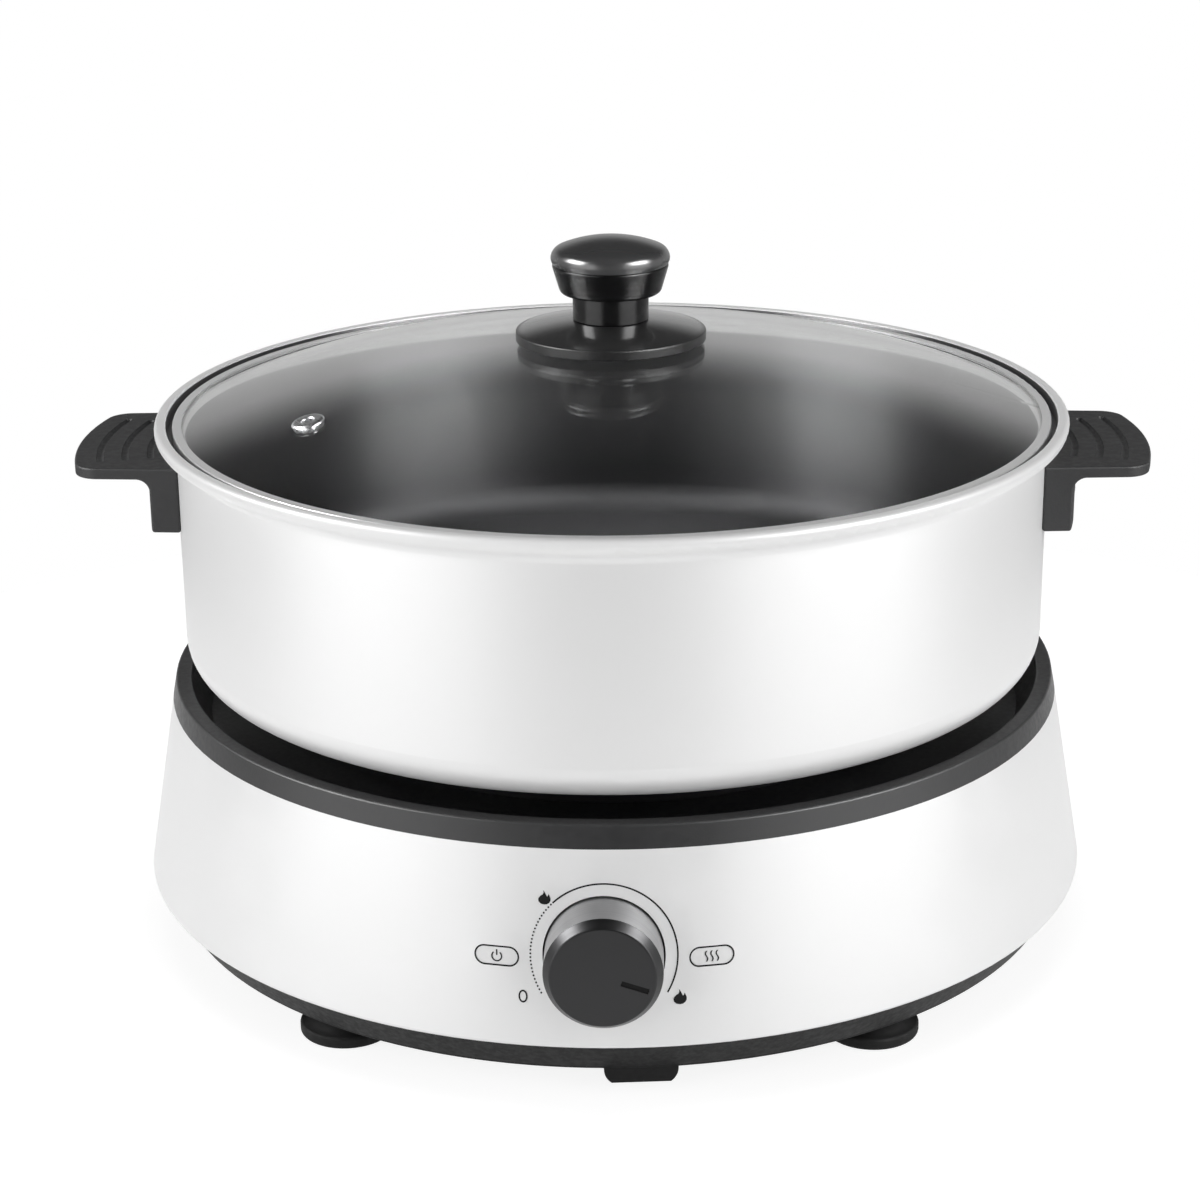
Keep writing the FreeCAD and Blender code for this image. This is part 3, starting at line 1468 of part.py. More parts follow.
def make_lid_knob():
    """Flange, neck ring, head with its cap, and the fixings that hold them through the glass."""
    glass = GLASS_TOP
    under = glass + S.flange_lift
    seat = glass + S.flange_top
    hole = S.lid_screw_radius + 0.4
    flange = turned(
        "knob_flange",
        [
            line(hole, under),
            line(S.flange_radius - 0.5, under),
            arc(S.flange_radius, under + 0.5, 0.5, 1),
            line(S.flange_radius, under + S.flange_edge - 0.7),
            arc(S.flange_radius - 0.7, under + S.flange_edge, 0.7, 1),
            arc(S.neck_radius + 0.5, seat, S.flange_crown, 1),
            line(hole, seat),
        ],
    )
    neck_top = seat + S.neck_length
    neck_ring = turned(
        "neck_ring",
        [
            line(S.neck_core_radius + 0.05, seat),
            line(S.neck_radius - 0.4, seat),
            line(S.neck_radius, seat + 0.4),
            line(S.neck_radius, neck_top),
            line(S.neck_core_radius + 0.05, neck_top),
        ],
    )
    insert = 4.2
    low, seam, edge = glass + S.head_low, glass + S.head_seam, S.head_seam_radius
    ledge = edge - 1.3
    head = turned(
        "lid_knob",
        [
            line(insert + 0.05, seat),
            line(S.neck_core_radius, seat),
            line(S.neck_core_radius, neck_top),
            line(S.head_low_radius - 1.8, neck_top),
            arc(S.head_low_radius, low, 2.2, 1),
            line(edge + 0.1, seam - 0.7),
            arc(edge - 0.35, seam, 0.6, 1),
            line(ledge, seam),
            line(ledge, seam - 1.5),
            line(0, seam - 1.5),
            line(0, seam - 5),
            line(insert + 0.05, seam - 5),
        ],
    )
    # The cap's shoulder and its crown are arcs that meet without an edge.
    round_off, brow, top = S.cap_shoulder, glass + S.cap_brow, glass + S.cap_top
    rise, turn_radius = top - brow, S.cap_radius - round_off
    crown = (rise * rise + turn_radius * turn_radius - round_off * round_off) / (2 * (rise - round_off))
    share = round_off / (crown - round_off)
    cap = turned(
        "knob_cap",
        [
            line(0, seam - 1.5),
            line(ledge - 0.05, seam - 1.5),
            line(ledge - 0.05, seam),
            line(edge - 0.3, seam),
            line(edge, seam + 0.3),
            arc(S.cap_radius, brow, 4, 1),
            arc(turn_radius * (1 + share), brow + (crown - rise) * share, round_off, 1),
            arc(0, top, crown, 1),
        ],
    )
    brass = turned(
        "knob_insert",
        [
            line(S.lid_screw_radius + 0.03, seat),
            line(insert, seat),
            line(insert, seam - 6),
            line(S.lid_screw_radius + 0.03, seam - 6),
        ],
    )
    inside = glass - S.glass_thick
    grommet_foot = inside - 1
    gasket = turned(
        "lid_gasket",
        [
            line(hole, grommet_foot),
            line(10, grommet_foot),
            line(10, inside - 0.2),
            line(GLASS_HOLE - 0.1, inside - 0.2),
            line(GLASS_HOLE - 0.1, glass + 0.05),
            line(14, glass + 0.05),
            line(14, under),
            line(hole, under),
        ],
    )
    washer = turned(
        "lid_washer",
        [
            line(hole, grommet_foot - 1.2),
            line(10, grommet_foot - 1.2),
            line(11, grommet_foot - 0.6),
            line(11, grommet_foot),
            line(hole, grommet_foot),
        ],
    )
    start = grommet_foot - 1.2
    length = seam - 8 - start
    bolt = screw("lid_screw", (0, 0, start), length, radius=S.lid_screw_radius, head=Size(5))
    return flange, neck_ring, head, cap, brass, gasket, washer, bolt


# --- The whole pot -----------------------------------------------------------------------------------


def make_all():
    """Every node of the hot pot, in the order of its bodies."""
    nodes = [make_housing(), make_ring(), make_pan(), *make_feet(), make_pan_screws()]
    nodes += [make_plate(), make_element(), make_shield(), *make_shield_fasteners(), *make_probe()]
    nodes += [make_knob_well(), *make_regulator(), *make_control_knob(), *make_windows()]
    nodes += [*make_inlet(), *make_wiring_blocks()]
    handle = make_handle()
    nodes += [make_pot(), handle, mirrored("left_handle", handle), *make_handle_fixings()]
    nodes += [make_lid_rim(), make_glass(), make_vent(), *make_lid_knob()]
    return nodes


def check_document():
    """Stops if any object of the document failed."""
    for item in doc.Objects:
        bad = [word for word in item.State if word in ("Invalid", "Error")]
        if bad:
            raise RuntimeError(f"{item.Label} is {bad}")


def check_shape(node):
    shape = node.Shape
    if shape.isNull() or not shape.isValid() or not shape.Solids:
        raise RuntimeError(f"{node.Label} has no sound shape")
    if any(solid.Volume <= 0 for solid in shape.Solids):
        raise RuntimeError(f"{node.Label} has a solid that is inside out")


def main():
    nodes = make_all()
    doc.recompute()
    check_document()
    for node in nodes:
        check_shape(node)
    os.makedirs("parts", exist_ok=True)
    for node in nodes:
        node.Shape.exportStep(f"parts/{node.Label}.step")
    print(f"{len(nodes)} nodes, {sum(len(node.Shape.Solids) for node in nodes)} solids")


main()
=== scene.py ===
"""Looks, lights and camera for the electric hot pot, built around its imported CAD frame."""

import math

import bmesh
import bpy
from mathutils import Matrix, Vector


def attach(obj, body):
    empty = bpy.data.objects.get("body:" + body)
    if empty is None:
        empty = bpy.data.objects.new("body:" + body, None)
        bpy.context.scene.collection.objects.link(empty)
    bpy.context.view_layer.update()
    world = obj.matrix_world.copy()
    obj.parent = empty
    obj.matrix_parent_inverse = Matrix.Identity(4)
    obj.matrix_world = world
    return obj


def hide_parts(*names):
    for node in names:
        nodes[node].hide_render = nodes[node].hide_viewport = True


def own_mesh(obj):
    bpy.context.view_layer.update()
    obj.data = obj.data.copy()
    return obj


MM = 0.001

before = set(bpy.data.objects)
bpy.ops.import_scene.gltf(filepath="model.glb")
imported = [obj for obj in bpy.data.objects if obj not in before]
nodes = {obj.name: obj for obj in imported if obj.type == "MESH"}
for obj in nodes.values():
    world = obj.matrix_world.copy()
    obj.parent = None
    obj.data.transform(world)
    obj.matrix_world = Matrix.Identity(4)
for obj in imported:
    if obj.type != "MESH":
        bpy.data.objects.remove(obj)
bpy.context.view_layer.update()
scene = bpy.context.scene


def add_object(name, data):
    item = bpy.data.objects.new(name, data)
    scene.collection.objects.link(item)
    return item


def add_mesh(name, mesh):
    """An object from a bmesh, which is freed."""
    data = bpy.data.meshes.new(name)
    mesh.to_mesh(data)
    mesh.free()
    return add_object(name, data)


# --- Shader nodes -----------------------------------------------------------------------------

UNIT = (0, 1)
NOISE_SPAN = (0.35, 0.65)  # most values of a noise texture lie between these


class Tree:
    """A node tree, and short ways of adding nodes to it. A value is a number, colour or socket."""

    def __init__(self, owner):
        owner.use_nodes = True
        self.nodes = owner.node_tree.nodes
        self.links = owner.node_tree.links

    def feed(self, socket, value):
        if isinstance(value, bpy.types.NodeSocket):
            self.links.new(value, socket)
        elif isinstance(value, tuple):
            socket.default_value = (*value, 1)
        else:
            socket.default_value = value

    def add(self, kind, values=(), **settings):
        """A new node. Its inputs' values come in their order, or by name or number."""
        node = self.nodes.new(kind)
        for key, value in settings.items():
            setattr(node, key, value)
        for key, value in values.items() if isinstance(values, dict) else enumerate(values):
            self.feed(node.inputs[key], value)
        return node

    def math(self, operation, *values):
        return self.add("ShaderNodeMath", values, operation=operation).outputs[0]

    def product(self, first, *others):
        for other in others:
            first = self.math("MULTIPLY", first, other)
        return first

    def distance(self, across, up):
        """How far a point lies from the axis that both measures start at."""
        squares = self.math("ADD", self.product(across, across), self.product(up, up))
        return self.math("SQRT", squares)

    def split(self, vector):
        return self.add("ShaderNodeSeparateXYZ", (vector,)).outputs

    def ranged(self, value, source, target=UNIT, kind="LINEAR"):
        """The value carried from one range to another, and held at the ends."""
        values = (value, *source, *target)
        return self.add("ShaderNodeMapRange", values, interpolation_type=kind).outputs[0]

    def smooth(self, value, source, target=UNIT):
        return self.ranged(value, source, target, "SMOOTHSTEP")

    def mixed(self, factor, first, second):
        """A colour between two."""
        values = {0: factor, 6: first, 7: second}
        return self.add("ShaderNodeMix", values, data_type="RGBA").outputs[2]

    def pick(self, factor, first, second):
        """The first shader where the factor is 0, and the second where it is 1."""
        return self.add("ShaderNodeMixShader", (factor, first, second)).outputs[0]


class Material(Tree):
    """A material with a Principled shader. Its textures follow the object's own coordinates.

    Its colour and roughness stay on the sockets under a link, for what doesn't follow links.
    """

    def __init__(self, name, color, roughness, **sockets):
        self.material = bpy.data.materials.new(name)
        super().__init__(self.material)
        self.nodes.clear()
        self.shader = self.add("ShaderNodeBsdfPrincipled")
        self.output = self.add("ShaderNodeOutputMaterial", (self.shader.outputs[0],))
        self.place = self.add("ShaderNodeTexCoord").outputs["Object"]
        self.dress(Base_Color=color, Roughness=roughness, **sockets)

    def dress(self, **sockets):
        for name, value in sockets.items():
            self.feed(self.shader.inputs[name.replace("_", " ")], value)

    def noise(self, scale, detail, vector=None):
        vector = self.place if vector is None else vector
        values = {"Vector": vector, "Scale": scale, "Detail": detail}
        return self.add("ShaderNodeTexNoise", values).outputs["Fac"]

    def mottled(self, scale, detail, low, high):
        """Soft patches between two numbers or two colours."""
        noise = self.noise(scale, detail)
        if isinstance(low, tuple):
            return self.mixed(self.ranged(noise, NOISE_SPAN), low, high)
        return self.ranged(noise, NOISE_SPAN, (low, high))

    def rings(self, radius, along, scale):
        """Fine noise that runs in rings round an axis."""
        vector = self.add("ShaderNodeCombineXYZ", (radius, along)).outputs[0]
        return self.noise(scale, 2, vector)

    def bump(self, height, strength, distance):
        values = {"Height": height, "Strength": strength, "Distance": distance}
        self.dress(Normal=self.add("ShaderNodeBump", values).outputs[0])


# --- Materials --------------------------------------------------------------------------------

# Scales of noise, in patches to a metre, and depths of the relief that it makes.
DRIFT_SCALE = 14
CLOUD_SCALE = 60
PEEL_SCALE = 900
PEEL_DEPTH = 0.2 * MM
MOULDING_SCALE = 25
GRAIN_DEPTH = 0.3 * MM
RINGS_SCALE = 2600
RINGS_DEPTH = 0.1 * MM

# How far a finish strays from its own tone or roughness, as factors.
PAINT_TONES = (0.988, 1)
PAINT_CLOUDS = (0.92, 1.08)
MOULDING_TONES = (0.88, 1.1)
MOULDING_CLOUDS = (0.9, 1.1)
TURNED_CLOUDS = (0.8, 1.25)
PEEL_STRENGTH = 0.04


def tints(color, factors):
    return [tuple(value * factor for value in color) for factor in factors]


def clouds(roughness, factors):
    return [roughness * factor for factor in factors]


def sprayed(made, color):
    """Gives the material a very fine orange peel; returns its colour with a faint drift of tone."""
    made.bump(made.noise(PEEL_SCALE, 2), PEEL_STRENGTH, PEEL_DEPTH)
    return made.mottled(DRIFT_SCALE, 2, *tints(color, PAINT_TONES))


def paint(name, color, roughness, **sockets):
    """Sprayed finish."""
    made = Material(name, color, roughness, **sockets)
    made.dress(
        Base_Color=sprayed(made, color),
        Roughness=made.mottled(CLOUD_SCALE, 3, *clouds(roughness, PAINT_CLOUDS)),
    )
    return made


def moulding(name, color, roughness, grain=1500, depth=0.12, **sockets):
    """Moulded plastic or rubber with a fine grain."""
    made = Material(name, color, roughness, **sockets)
    made.dress(
        Base_Color=made.mottled(MOULDING_SCALE, 3, *tints(color, MOULDING_TONES)),
        Roughness=made.mottled(grain / 3, 3, *clouds(roughness, MOULDING_CLOUDS)),
    )
    made.bump(made.noise(grain, 4), depth, GRAIN_DEPTH)
    return made


def turned_metal(name, color, roughness, depth=0.06, metallic=1.0):
    """Metal turned round the pot's axis: fine rings in its roughness and bump."""
    made = Material(name, color, roughness, Metallic=metallic)
    x, y, z = made.split(made.place)
    rings = made.rings(made.distance(x, y), z, RINGS_SCALE)
    made.dress(Roughness=made.ranged(rings, NOISE_SPAN, clouds(roughness, TURNED_CLOUDS)))
    made.bump(rings, depth, RINGS_DEPTH)
    return made


WHITE = (0.86, 0.86, 0.86)
WHITE_ROUGHNESS = 0.435
WHITE_METALLIC = 0.25  # a pearly share, which falls towards the pot's rim
RIM_METALLIC = 0.04
RIM_HEIGHTS = (176 * MM, 180 * MM)

# The coated side ends just past the pot's inner wall, its rim's bore, the lid's ledge and the
# inner floor, and on the rounding at the rim's crest.
WALL_RADIUS = 150.7 * MM
BORE_RADIUS = 156.45 * MM
LEDGE_HEIGHT = 180.9 * MM
FLOOR_HEIGHT = 103.0 * MM
CREST_HEIGHT = 186.35 * MM

# The coating is duller and without rings low in the pot. Its colour is darker there as painted
# shade deep in the pot.
COAT_LOW_PAINTED_SHADE = (0.078, 0.078, 0.08)
COAT_HIGH = (0.172, 0.172, 0.175)
COAT_PAINTED_SHADE_HEIGHTS = (120 * MM, 152 * MM)
COAT_ROUGHNESS = 0.43
COAT_EXTRA_ROUGHNESS = (0.3, -0.04)
COAT_ROUGH_HEIGHTS = (104 * MM, 118 * MM)
COAT_METALLIC = 0.95
COAT_RINGS = 0.95
COAT_RING_HEIGHTS = (106 * MM, 114 * MM)


def make_pot_finish():
    """White outside; inside, a dark coating turned in fine rings, so it gleams up and down."""
    made = Material("pot_finish", WHITE, WHITE_ROUGHNESS)
    x, y, height = made.split(made.place)
    radius = made.distance(x, y)
    wall = made.math("LESS_THAN", radius, WALL_RADIUS)
    bore = made.math("LESS_THAN", radius, BORE_RADIUS)
    rim = made.product(bore, made.math("GREATER_THAN", height, LEDGE_HEIGHT))
    above = made.math("GREATER_THAN", height, FLOOR_HEIGHT)
    below = made.math("LESS_THAN", height, CREST_HEIGHT)
    coated = made.product(made.math("MAXIMUM", wall, rim), above, below)

    pale = sprayed(made, WHITE)
    # Painted shade: the coating's colour darkens lower in the pot.
    coat_with_painted_shade = made.mixed(made.ranged(height, COAT_PAINTED_SHADE_HEIGHTS), COAT_LOW_PAINTED_SHADE, COAT_HIGH)
    dull = made.ranged(height, COAT_ROUGH_HEIGHTS, COAT_EXTRA_ROUGHNESS)
    roughness = made.ranged(coated, UNIT, (WHITE_ROUGHNESS, COAT_ROUGHNESS))
    pearl = made.ranged(height, RIM_HEIGHTS, (WHITE_METALLIC, RIM_METALLIC))
    rings = made.ranged(height, COAT_RING_HEIGHTS, (0.0, COAT_RINGS))
    tangent = made.add("ShaderNodeTangent", direction_type="RADIAL", axis="Z")
    made.dress(
        Base_Color=made.mixed(coated, pale, coat_with_painted_shade),
        Roughness=made.math("ADD", roughness, made.product(coated, dull)),
        Metallic=made.math("MAXIMUM", pearl, made.product(coated, COAT_METALLIC)),
        Anisotropic=made.product(coated, rings),
        Anisotropic_Rotation=0.25,
        Tangent=tangent.outputs[0],
    )
    return made


KNOB_HEIGHT = 52.0  # of the control knob's axis, in millimetres
KNOB_FRONT = -177.0 * MM  # the knob's face and bevel lie in front of this, and its side behind
KNOB_FACE_COLOR = (0.045, 0.045, 0.046)
# The side's paler colour is a painted sheen; the knob is one dark metal.
KNOB_SIDE_PAINTED_SHEEN = (0.3, 0.3, 0.305)
KNOB_ROUGHNESS = (0.3, 0.42)
KNOB_RINGS_SCALE = 2200
KNOB_RINGS_STRENGTH = 0.08


def make_knob_metal():
    """Dark spun face and brushed side about the control knob's own axis; the side's paler colour is
    a painted sheen on one dark metal.
    """
    made = Material("knob_metal", KNOB_FACE_COLOR, 0.34, Metallic=1.0)
    x, y, z = made.split(made.place)
    radius = made.distance(x, made.math("SUBTRACT", z, KNOB_HEIGHT * MM))
    rings = made.rings(radius, y, KNOB_RINGS_SCALE)
    # Behind the bevel the colour is paler, a painted sheen.
    side = made.math("GREATER_THAN", y, KNOB_FRONT)
    made.dress(
        Base_Color=made.mixed(side, KNOB_FACE_COLOR, KNOB_SIDE_PAINTED_SHEEN),
        Roughness=made.ranged(rings, NOISE_SPAN, KNOB_ROUGHNESS),
    )
    made.bump(rings, KNOB_RINGS_STRENGTH, RINGS_DEPTH)
    return made


JET = (0.005, 0.005, 0.0053)
# The flange top's lighter colour is a painted sheen on the one black moulding.
JET_PAINTED_SHEEN = (0.03, 0.03, 0.0305)
POLISH_HEIGHTS = (213.9 * MM, 214.5 * MM)


def make_flange_black():
    """Black moulding: a polished top on a duller edge, with a lighter colour on the top as a
    painted sheen.
    """
    made = Material("flange_black", JET, 0.4, Coat_IOR=2.0, Coat_Roughness=0.08)
    _, _, height = made.split(made.place)
    polish_and_painted_sheen = made.ranged(height, POLISH_HEIGHTS)
    # The polished top also gets a lighter colour, a painted sheen.
    made.dress(Base_Color=made.mixed(polish_and_painted_sheen, JET, JET_PAINTED_SHEEN), Coat_Weight=polish_and_painted_sheen)
    return made


GLASS_COLOR = (0.978, 0.982, 0.98)
GLASS_SHADOW = (0.926, 0.928, 0.926)


def make_glass():
    """Clear glass that lets the lamps' light through to what it covers."""
    made = Material("lid_glass", GLASS_COLOR, 0.02, Transmission_Weight=1.0, IOR=1.46)
    clear = made.add("ShaderNodeBsdfTransparent", (GLASS_SHADOW,)).outputs[0]
    shadow = made.add("ShaderNodeLightPath").outputs["Is Shadow Ray"]
    made.feed(made.output.inputs[0], made.pick(shadow, made.shader.outputs[0], clear))
    return made


white = paint("white_enamel", WHITE, WHITE_ROUGHNESS, Metallic=WHITE_METALLIC)
pot_finish = make_pot_finish()
ring_black = moulding("ring_black", (0.022, 0.022, 0.023), 0.42)
pan_black = moulding("pan_black", (0.006, 0.006, 0.0062), 0.6, Specular_IOR_Level=0.2)
handle_black = moulding(
    "handle_black", (0.032, 0.032, 0.033), 0.55, grain=1200, depth=0.15, Specular_IOR_Level=0.35
)
gloss_black = paint("gloss_black", JET, 0.2, Specular_IOR_Level=0.38)
flange_black = make_flange_black()
cap_black = paint("cap_black", (0.055, 0.055, 0.056), 0.22, IOR=1.8)
matt_black = paint("matt_black", (0.004, 0.004, 0.0042), 0.6, Specular_IOR_Level=0.15)
rubber = moulding(
    "foot_rubber", (0.014, 0.014, 0.014), 0.75, grain=900, depth=0.2, Specular_IOR_Level=0.2
)
silicone = moulding("silicone", (0.62, 0.62, 0.6), 0.5, grain=900, depth=0.1)
nylon = moulding("nylon", (0.78, 0.77, 0.73), 0.5)
phenolic = moulding("phenolic", (0.05, 0.038, 0.03), 0.45)
steel = turned_metal("spun_steel", (0.62, 0.62, 0.63), 0.3)
bright_steel = turned_metal("bright_steel", (0.8, 0.8, 0.81), 0.3, depth=0.01)
rim_steel = turned_metal("rim_steel", (0.82, 0.82, 0.82), 0.38, depth=0.03, metallic=0.45)
plate_metal = turned_metal("cast_plate", (0.5, 0.5, 0.51), 0.42, depth=0.2)
element_metal = turned_metal("element_sheath", (0.3, 0.29, 0.28), 0.5)
screw_metal = turned_metal("screw_steel", (0.6, 0.6, 0.61), 0.28)
brass = turned_metal("brass", (0.72, 0.53, 0.26), 0.3)
knob_metal = make_knob_metal()
lens_white = paint("lens_white", (0.88, 0.88, 0.88), 0.4)
lamp_glass = paint("lamp_glass", (0.8, 0.35, 0.18), 0.15, Transmission_Weight=0.4)
glass = make_glass()
ink = paint("panel_ink", (0.006, 0.006, 0.0063), 0.6, Specular_IOR_Level=0.2)

FINISHES = {
    "base_housing": white,
    "top_ring": ring_black,
    "bottom_pan": pan_black,
    "rubber_feet": rubber,
    "foot_screws": screw_metal,
    "pan_screws": screw_metal,
    "hot_plate": plate_metal,
    "heating_element": element_metal,
    "heat_shield": steel,
    "plate_posts": steel,
    "plate_screws": screw_metal,
    "shield_screws": screw_metal,
    "probe_cap": plate_metal,
    "probe_sensor": element_metal,
    "probe_sleeve": steel,
    "probe_spring": steel,
    "knob_well": ring_black,
    "heat_regulator": phenolic,
    "regulator_bracket": steel,
    "bush_nut": brass,
    "control_knob": knob_metal,
    "knob_pointer": matt_black,
    "knob_spindle": steel,
    "power_lens": lens_white,
    "heating_lens": lens_white,
    "lamp_holders": nylon,
    "indicator_lamps": lamp_glass,
    "power_inlet": pan_black,
    "inlet_blades": brass,
    "inlet_screws": screw_metal,
    "terminal_block": nylon,
    "thermal_cutout": steel,
    "pot_shell": pot_finish,
    "right_handle": handle_black,
    "left_handle": handle_black,
    "handle_brackets": steel,
    "handle_screws": screw_metal,
    "lid_rim": rim_steel,
    "glass_lid": glass,
    "vent_eyelet": bright_steel,
    "knob_flange": flange_black,
    "neck_ring": gloss_black,
    "lid_knob": gloss_black,
    "knob_cap": cap_black,
    "knob_insert": brass,
    "lid_gasket": silicone,
    "lid_washer": steel,
    "lid_screw": screw_metal,
}

for name, node in nodes.items():
    node.data.materials.clear()
    node.data.materials.append(FINISHES[name].material)


# --- Probe spring -----------------------------------------------------------------------------

coil = add_object("probe_coil", nodes["probe_spring"].data.copy())
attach(coil, "base")
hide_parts("probe_spring")
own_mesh(coil)


# --- Printed marks on the panel, in millimetres -----------------------------------------------

HOUSING_LOW = (22.1, 170.5)  # height and radius of the housing's lower edge
HOUSING_HIGH = (86.0, 159.4)
INK_THICK = 0.05
INK_SINK = 0.04


def panel_depth(x, z):
    """The housing's outer face at a point of the panel."""
    share = (z - HOUSING_LOW[0]) / (HOUSING_HIGH[0] - HOUSING_LOW[0])
    radius = HOUSING_LOW[1] + (HOUSING_HIGH[1] - HOUSING_LOW[1]) * share
    return -math.sqrt(radius * radius - x * x)


def row(mesh, outline, lift):
    """The outline's points on the panel, lifted off its face or sunk below it."""
    return [mesh.verts.new((x * MM, (panel_depth(x, z) - lift) * MM, z * MM)) for x, z in outline]


def add_band(mesh, outer, inner, closed):
    rows = [
        row(mesh, outer, INK_THICK),
        row(mesh, inner, INK_THICK),
        row(mesh, inner, -INK_SINK),
        row(mesh, outer, -INK_SINK),
    ]
    count = len(outer)
    for i in range(count if closed else count - 1):
        j = (i + 1) % count
        for k in range(4):
            a, b = rows[k], rows[(k + 1) % 4]
            mesh.faces.new((a[i], a[j], b[j], b[i]))
    if not closed:
        mesh.faces.new([line[0] for line in rows])
        mesh.faces.new([line[-1] for line in reversed(rows)])


def add_patch(mesh, outline):
    top, bottom = row(mesh, outline, INK_THICK), row(mesh, outline, -INK_SINK)
    mesh.faces.new(top)
    mesh.faces.new(list(reversed(bottom)))
    for i in range(len(top)):
        j = (i + 1) % len(top)
        mesh.faces.new((top[i], bottom[i], bottom[j], top[j]))


def printed(name, shapes):
    """Ink on the panel. A shape is filled, with one outline, or a closed or open band of two."""
    mesh = bmesh.new()
    for kind, *outlines in shapes:
        if kind == "filled":
            add_patch(mesh, *outlines)
        else:
            add_band(mesh, *outlines, closed=kind == "closed")
    bmesh.ops.recalc_face_normals(mesh, faces=mesh.faces)
    piece = add_mesh(name, mesh)
    piece.data.materials.append(ink.material)
    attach(piece, "base")


def polar(radius, angle, centre=(0.0, KNOB_HEIGHT)):
    turn = math.radians(angle)
    return centre[0] + radius * math.cos(turn), centre[1] + radius * math.sin(turn)


def arc_band(radius, width, start, end, steps, centre=(0.0, KNOB_HEIGHT)):
    angles = [start + (end - start) * i / steps for i in range(steps + 1)]
    outer = [polar(radius + width / 2, angle, centre) for angle in angles]
    inner = [polar(radius - width / 2, angle, centre) for angle in angles]
    return "open", outer, inner


def dot(centre, radius, steps=10):
    return "filled", [polar(radius, 360 * i / steps, centre) for i in range(steps)]


def ellipse(centre, half_width, half_height, steps=28):
    angles = [2 * math.pi * i / steps for i in range(steps)]
    x, z = centre
    return [(x + half_width * math.cos(a), z + half_height * math.sin(a)) for a in angles]


def stadium(centre, width, height, steps=16):
    """Points of an outline with round ends."""
    half = height / 2
    straight = width / 2 - half
    points = []
    for side, first in ((1, -90), (-1, 90)):
        middle = (centre[0] + side * straight, centre[1])
        points += [polar(half, first + 180 * i / steps, middle) for i in range(steps + 1)]
    return points


def wave(centre, height, width, swing, steps=12):
    """One upright wavy line."""
    shares = [i / steps for i in range(steps + 1)]
    across = [centre[0] + swing * math.sin(2 * math.pi * share) for share in shares]
    up = [centre[1] + height * (share - 0.5) for share in shares]
    left = [(x - width / 2, z) for x, z in zip(across, up)]
    right = [(x + width / 2, z) for x, z in zip(across, up)]
    return "open", left, right


FLAME = [
    (0.0, -1.0), (0.42, -0.94), (0.74, -0.72), (0.92, -0.4), (0.94, -0.04), (0.8, 0.3),
    (0.64, 0.62), (0.56, 0.34), (0.42, 0.2), (0.28, 0.44), (0.12, 0.78), (-0.12, 1.16),
    (-0.1, 0.78), (-0.24, 0.5), (-0.5, 0.36), (-0.74, 0.12), (-0.92, -0.2), (-0.86, -0.58),
    (-0.5, -0.9),
]  # fmt: skip


def flame(centre, size):
    return "filled", [(centre[0] + x * size, centre[1] + z * size) for x, z in FLAME]


# Angles run anticlockwise from the right, about the control knob's axis.
SCALE_RADIUS = 23.2
SCALE_LINE = 0.5
LINE_START, LINE_END, LINE_STEPS = 133.6, -30.6, 96
DOTS_START, DOTS_END, DOTS = 135.5, 211.3, 27
DOT_RADIUS = 0.3

scale_marks = [arc_band(SCALE_RADIUS, SCALE_LINE, LINE_START, LINE_END, LINE_STEPS)]
for step in range(DOTS):
    angle = DOTS_START + (DOTS_END - DOTS_START) * step / (DOTS - 1)
    scale_marks.append(dot(polar(SCALE_RADIUS, angle), DOT_RADIUS))
printed("heat_scale", scale_marks)

# Radius, angle and size of the flames at the two ends of the line.
FLAMES = {"flame_low": (26.1, 135.5, 2.1), "flame_high": (27.5, -29.8, 2.25)}
for name, (radius, angle, size) in FLAMES.items():
    printed(name, [flame(polar(radius, angle), size)])

OFF_PLACE = polar(29.0, 207.9)
OFF_OUTER = (1.45, 2.05)
OFF_INNER = (0.95, 1.55)
printed("off_mark", [("closed", ellipse(OFF_PLACE, *OFF_OUTER), ellipse(OFF_PLACE, *OFF_INNER))])

WINDOW_ACROSS, WINDOW_UP = 33.9, 50.8
FRAME_WIDTH, FRAME_HEIGHT = 14.3, 6.5
FRAME_LINE = 0.5
POWER_RADIUS, POWER_LINE, POWER_DROP = 1.55, 0.4, 0.15
POWER_START, POWER_END, POWER_STEPS = 130, 410, 24
BAR_HALF, BAR_LOW, BAR_HIGH = 0.2, 0.15, 1.95
WAVE_PITCH, WAVE_HEIGHT, WAVE_LINE, WAVE_SWING = 1.7, 3.4, 0.42, 0.36


def window_frame(centre):
    outer = stadium(centre, FRAME_WIDTH, FRAME_HEIGHT)
    inner = stadium(centre, FRAME_WIDTH - 2 * FRAME_LINE, FRAME_HEIGHT - 2 * FRAME_LINE)
    return "closed", outer, inner


def power_marks(x, z):
    """An open ring and an upright bar."""
    left, right, low, high = x - BAR_HALF, x + BAR_HALF, z + BAR_LOW, z + BAR_HIGH
    middle = (x, z - POWER_DROP)
    ring = arc_band(POWER_RADIUS, POWER_LINE, POWER_START, POWER_END, POWER_STEPS, middle)
    return [ring, ("filled", [(left, low), (right, low), (right, high), (left, high)])]


def heating_marks(x, z):
    """Three waves of heat."""
    places = [(x + offset, z) for offset in (-WAVE_PITCH, 0.0, WAVE_PITCH)]
    return [wave(place, WAVE_HEIGHT, WAVE_LINE, WAVE_SWING) for place in places]


for name, side, marks in (("power_sign", -1, power_marks), ("heating_sign", 1, heating_marks)):
    centre = (side * WINDOW_ACROSS, WINDOW_UP)
    printed(name, [window_frame(centre), *marks(*centre)])


# --- Floor, light and camera, in metres -------------------------------------------------------

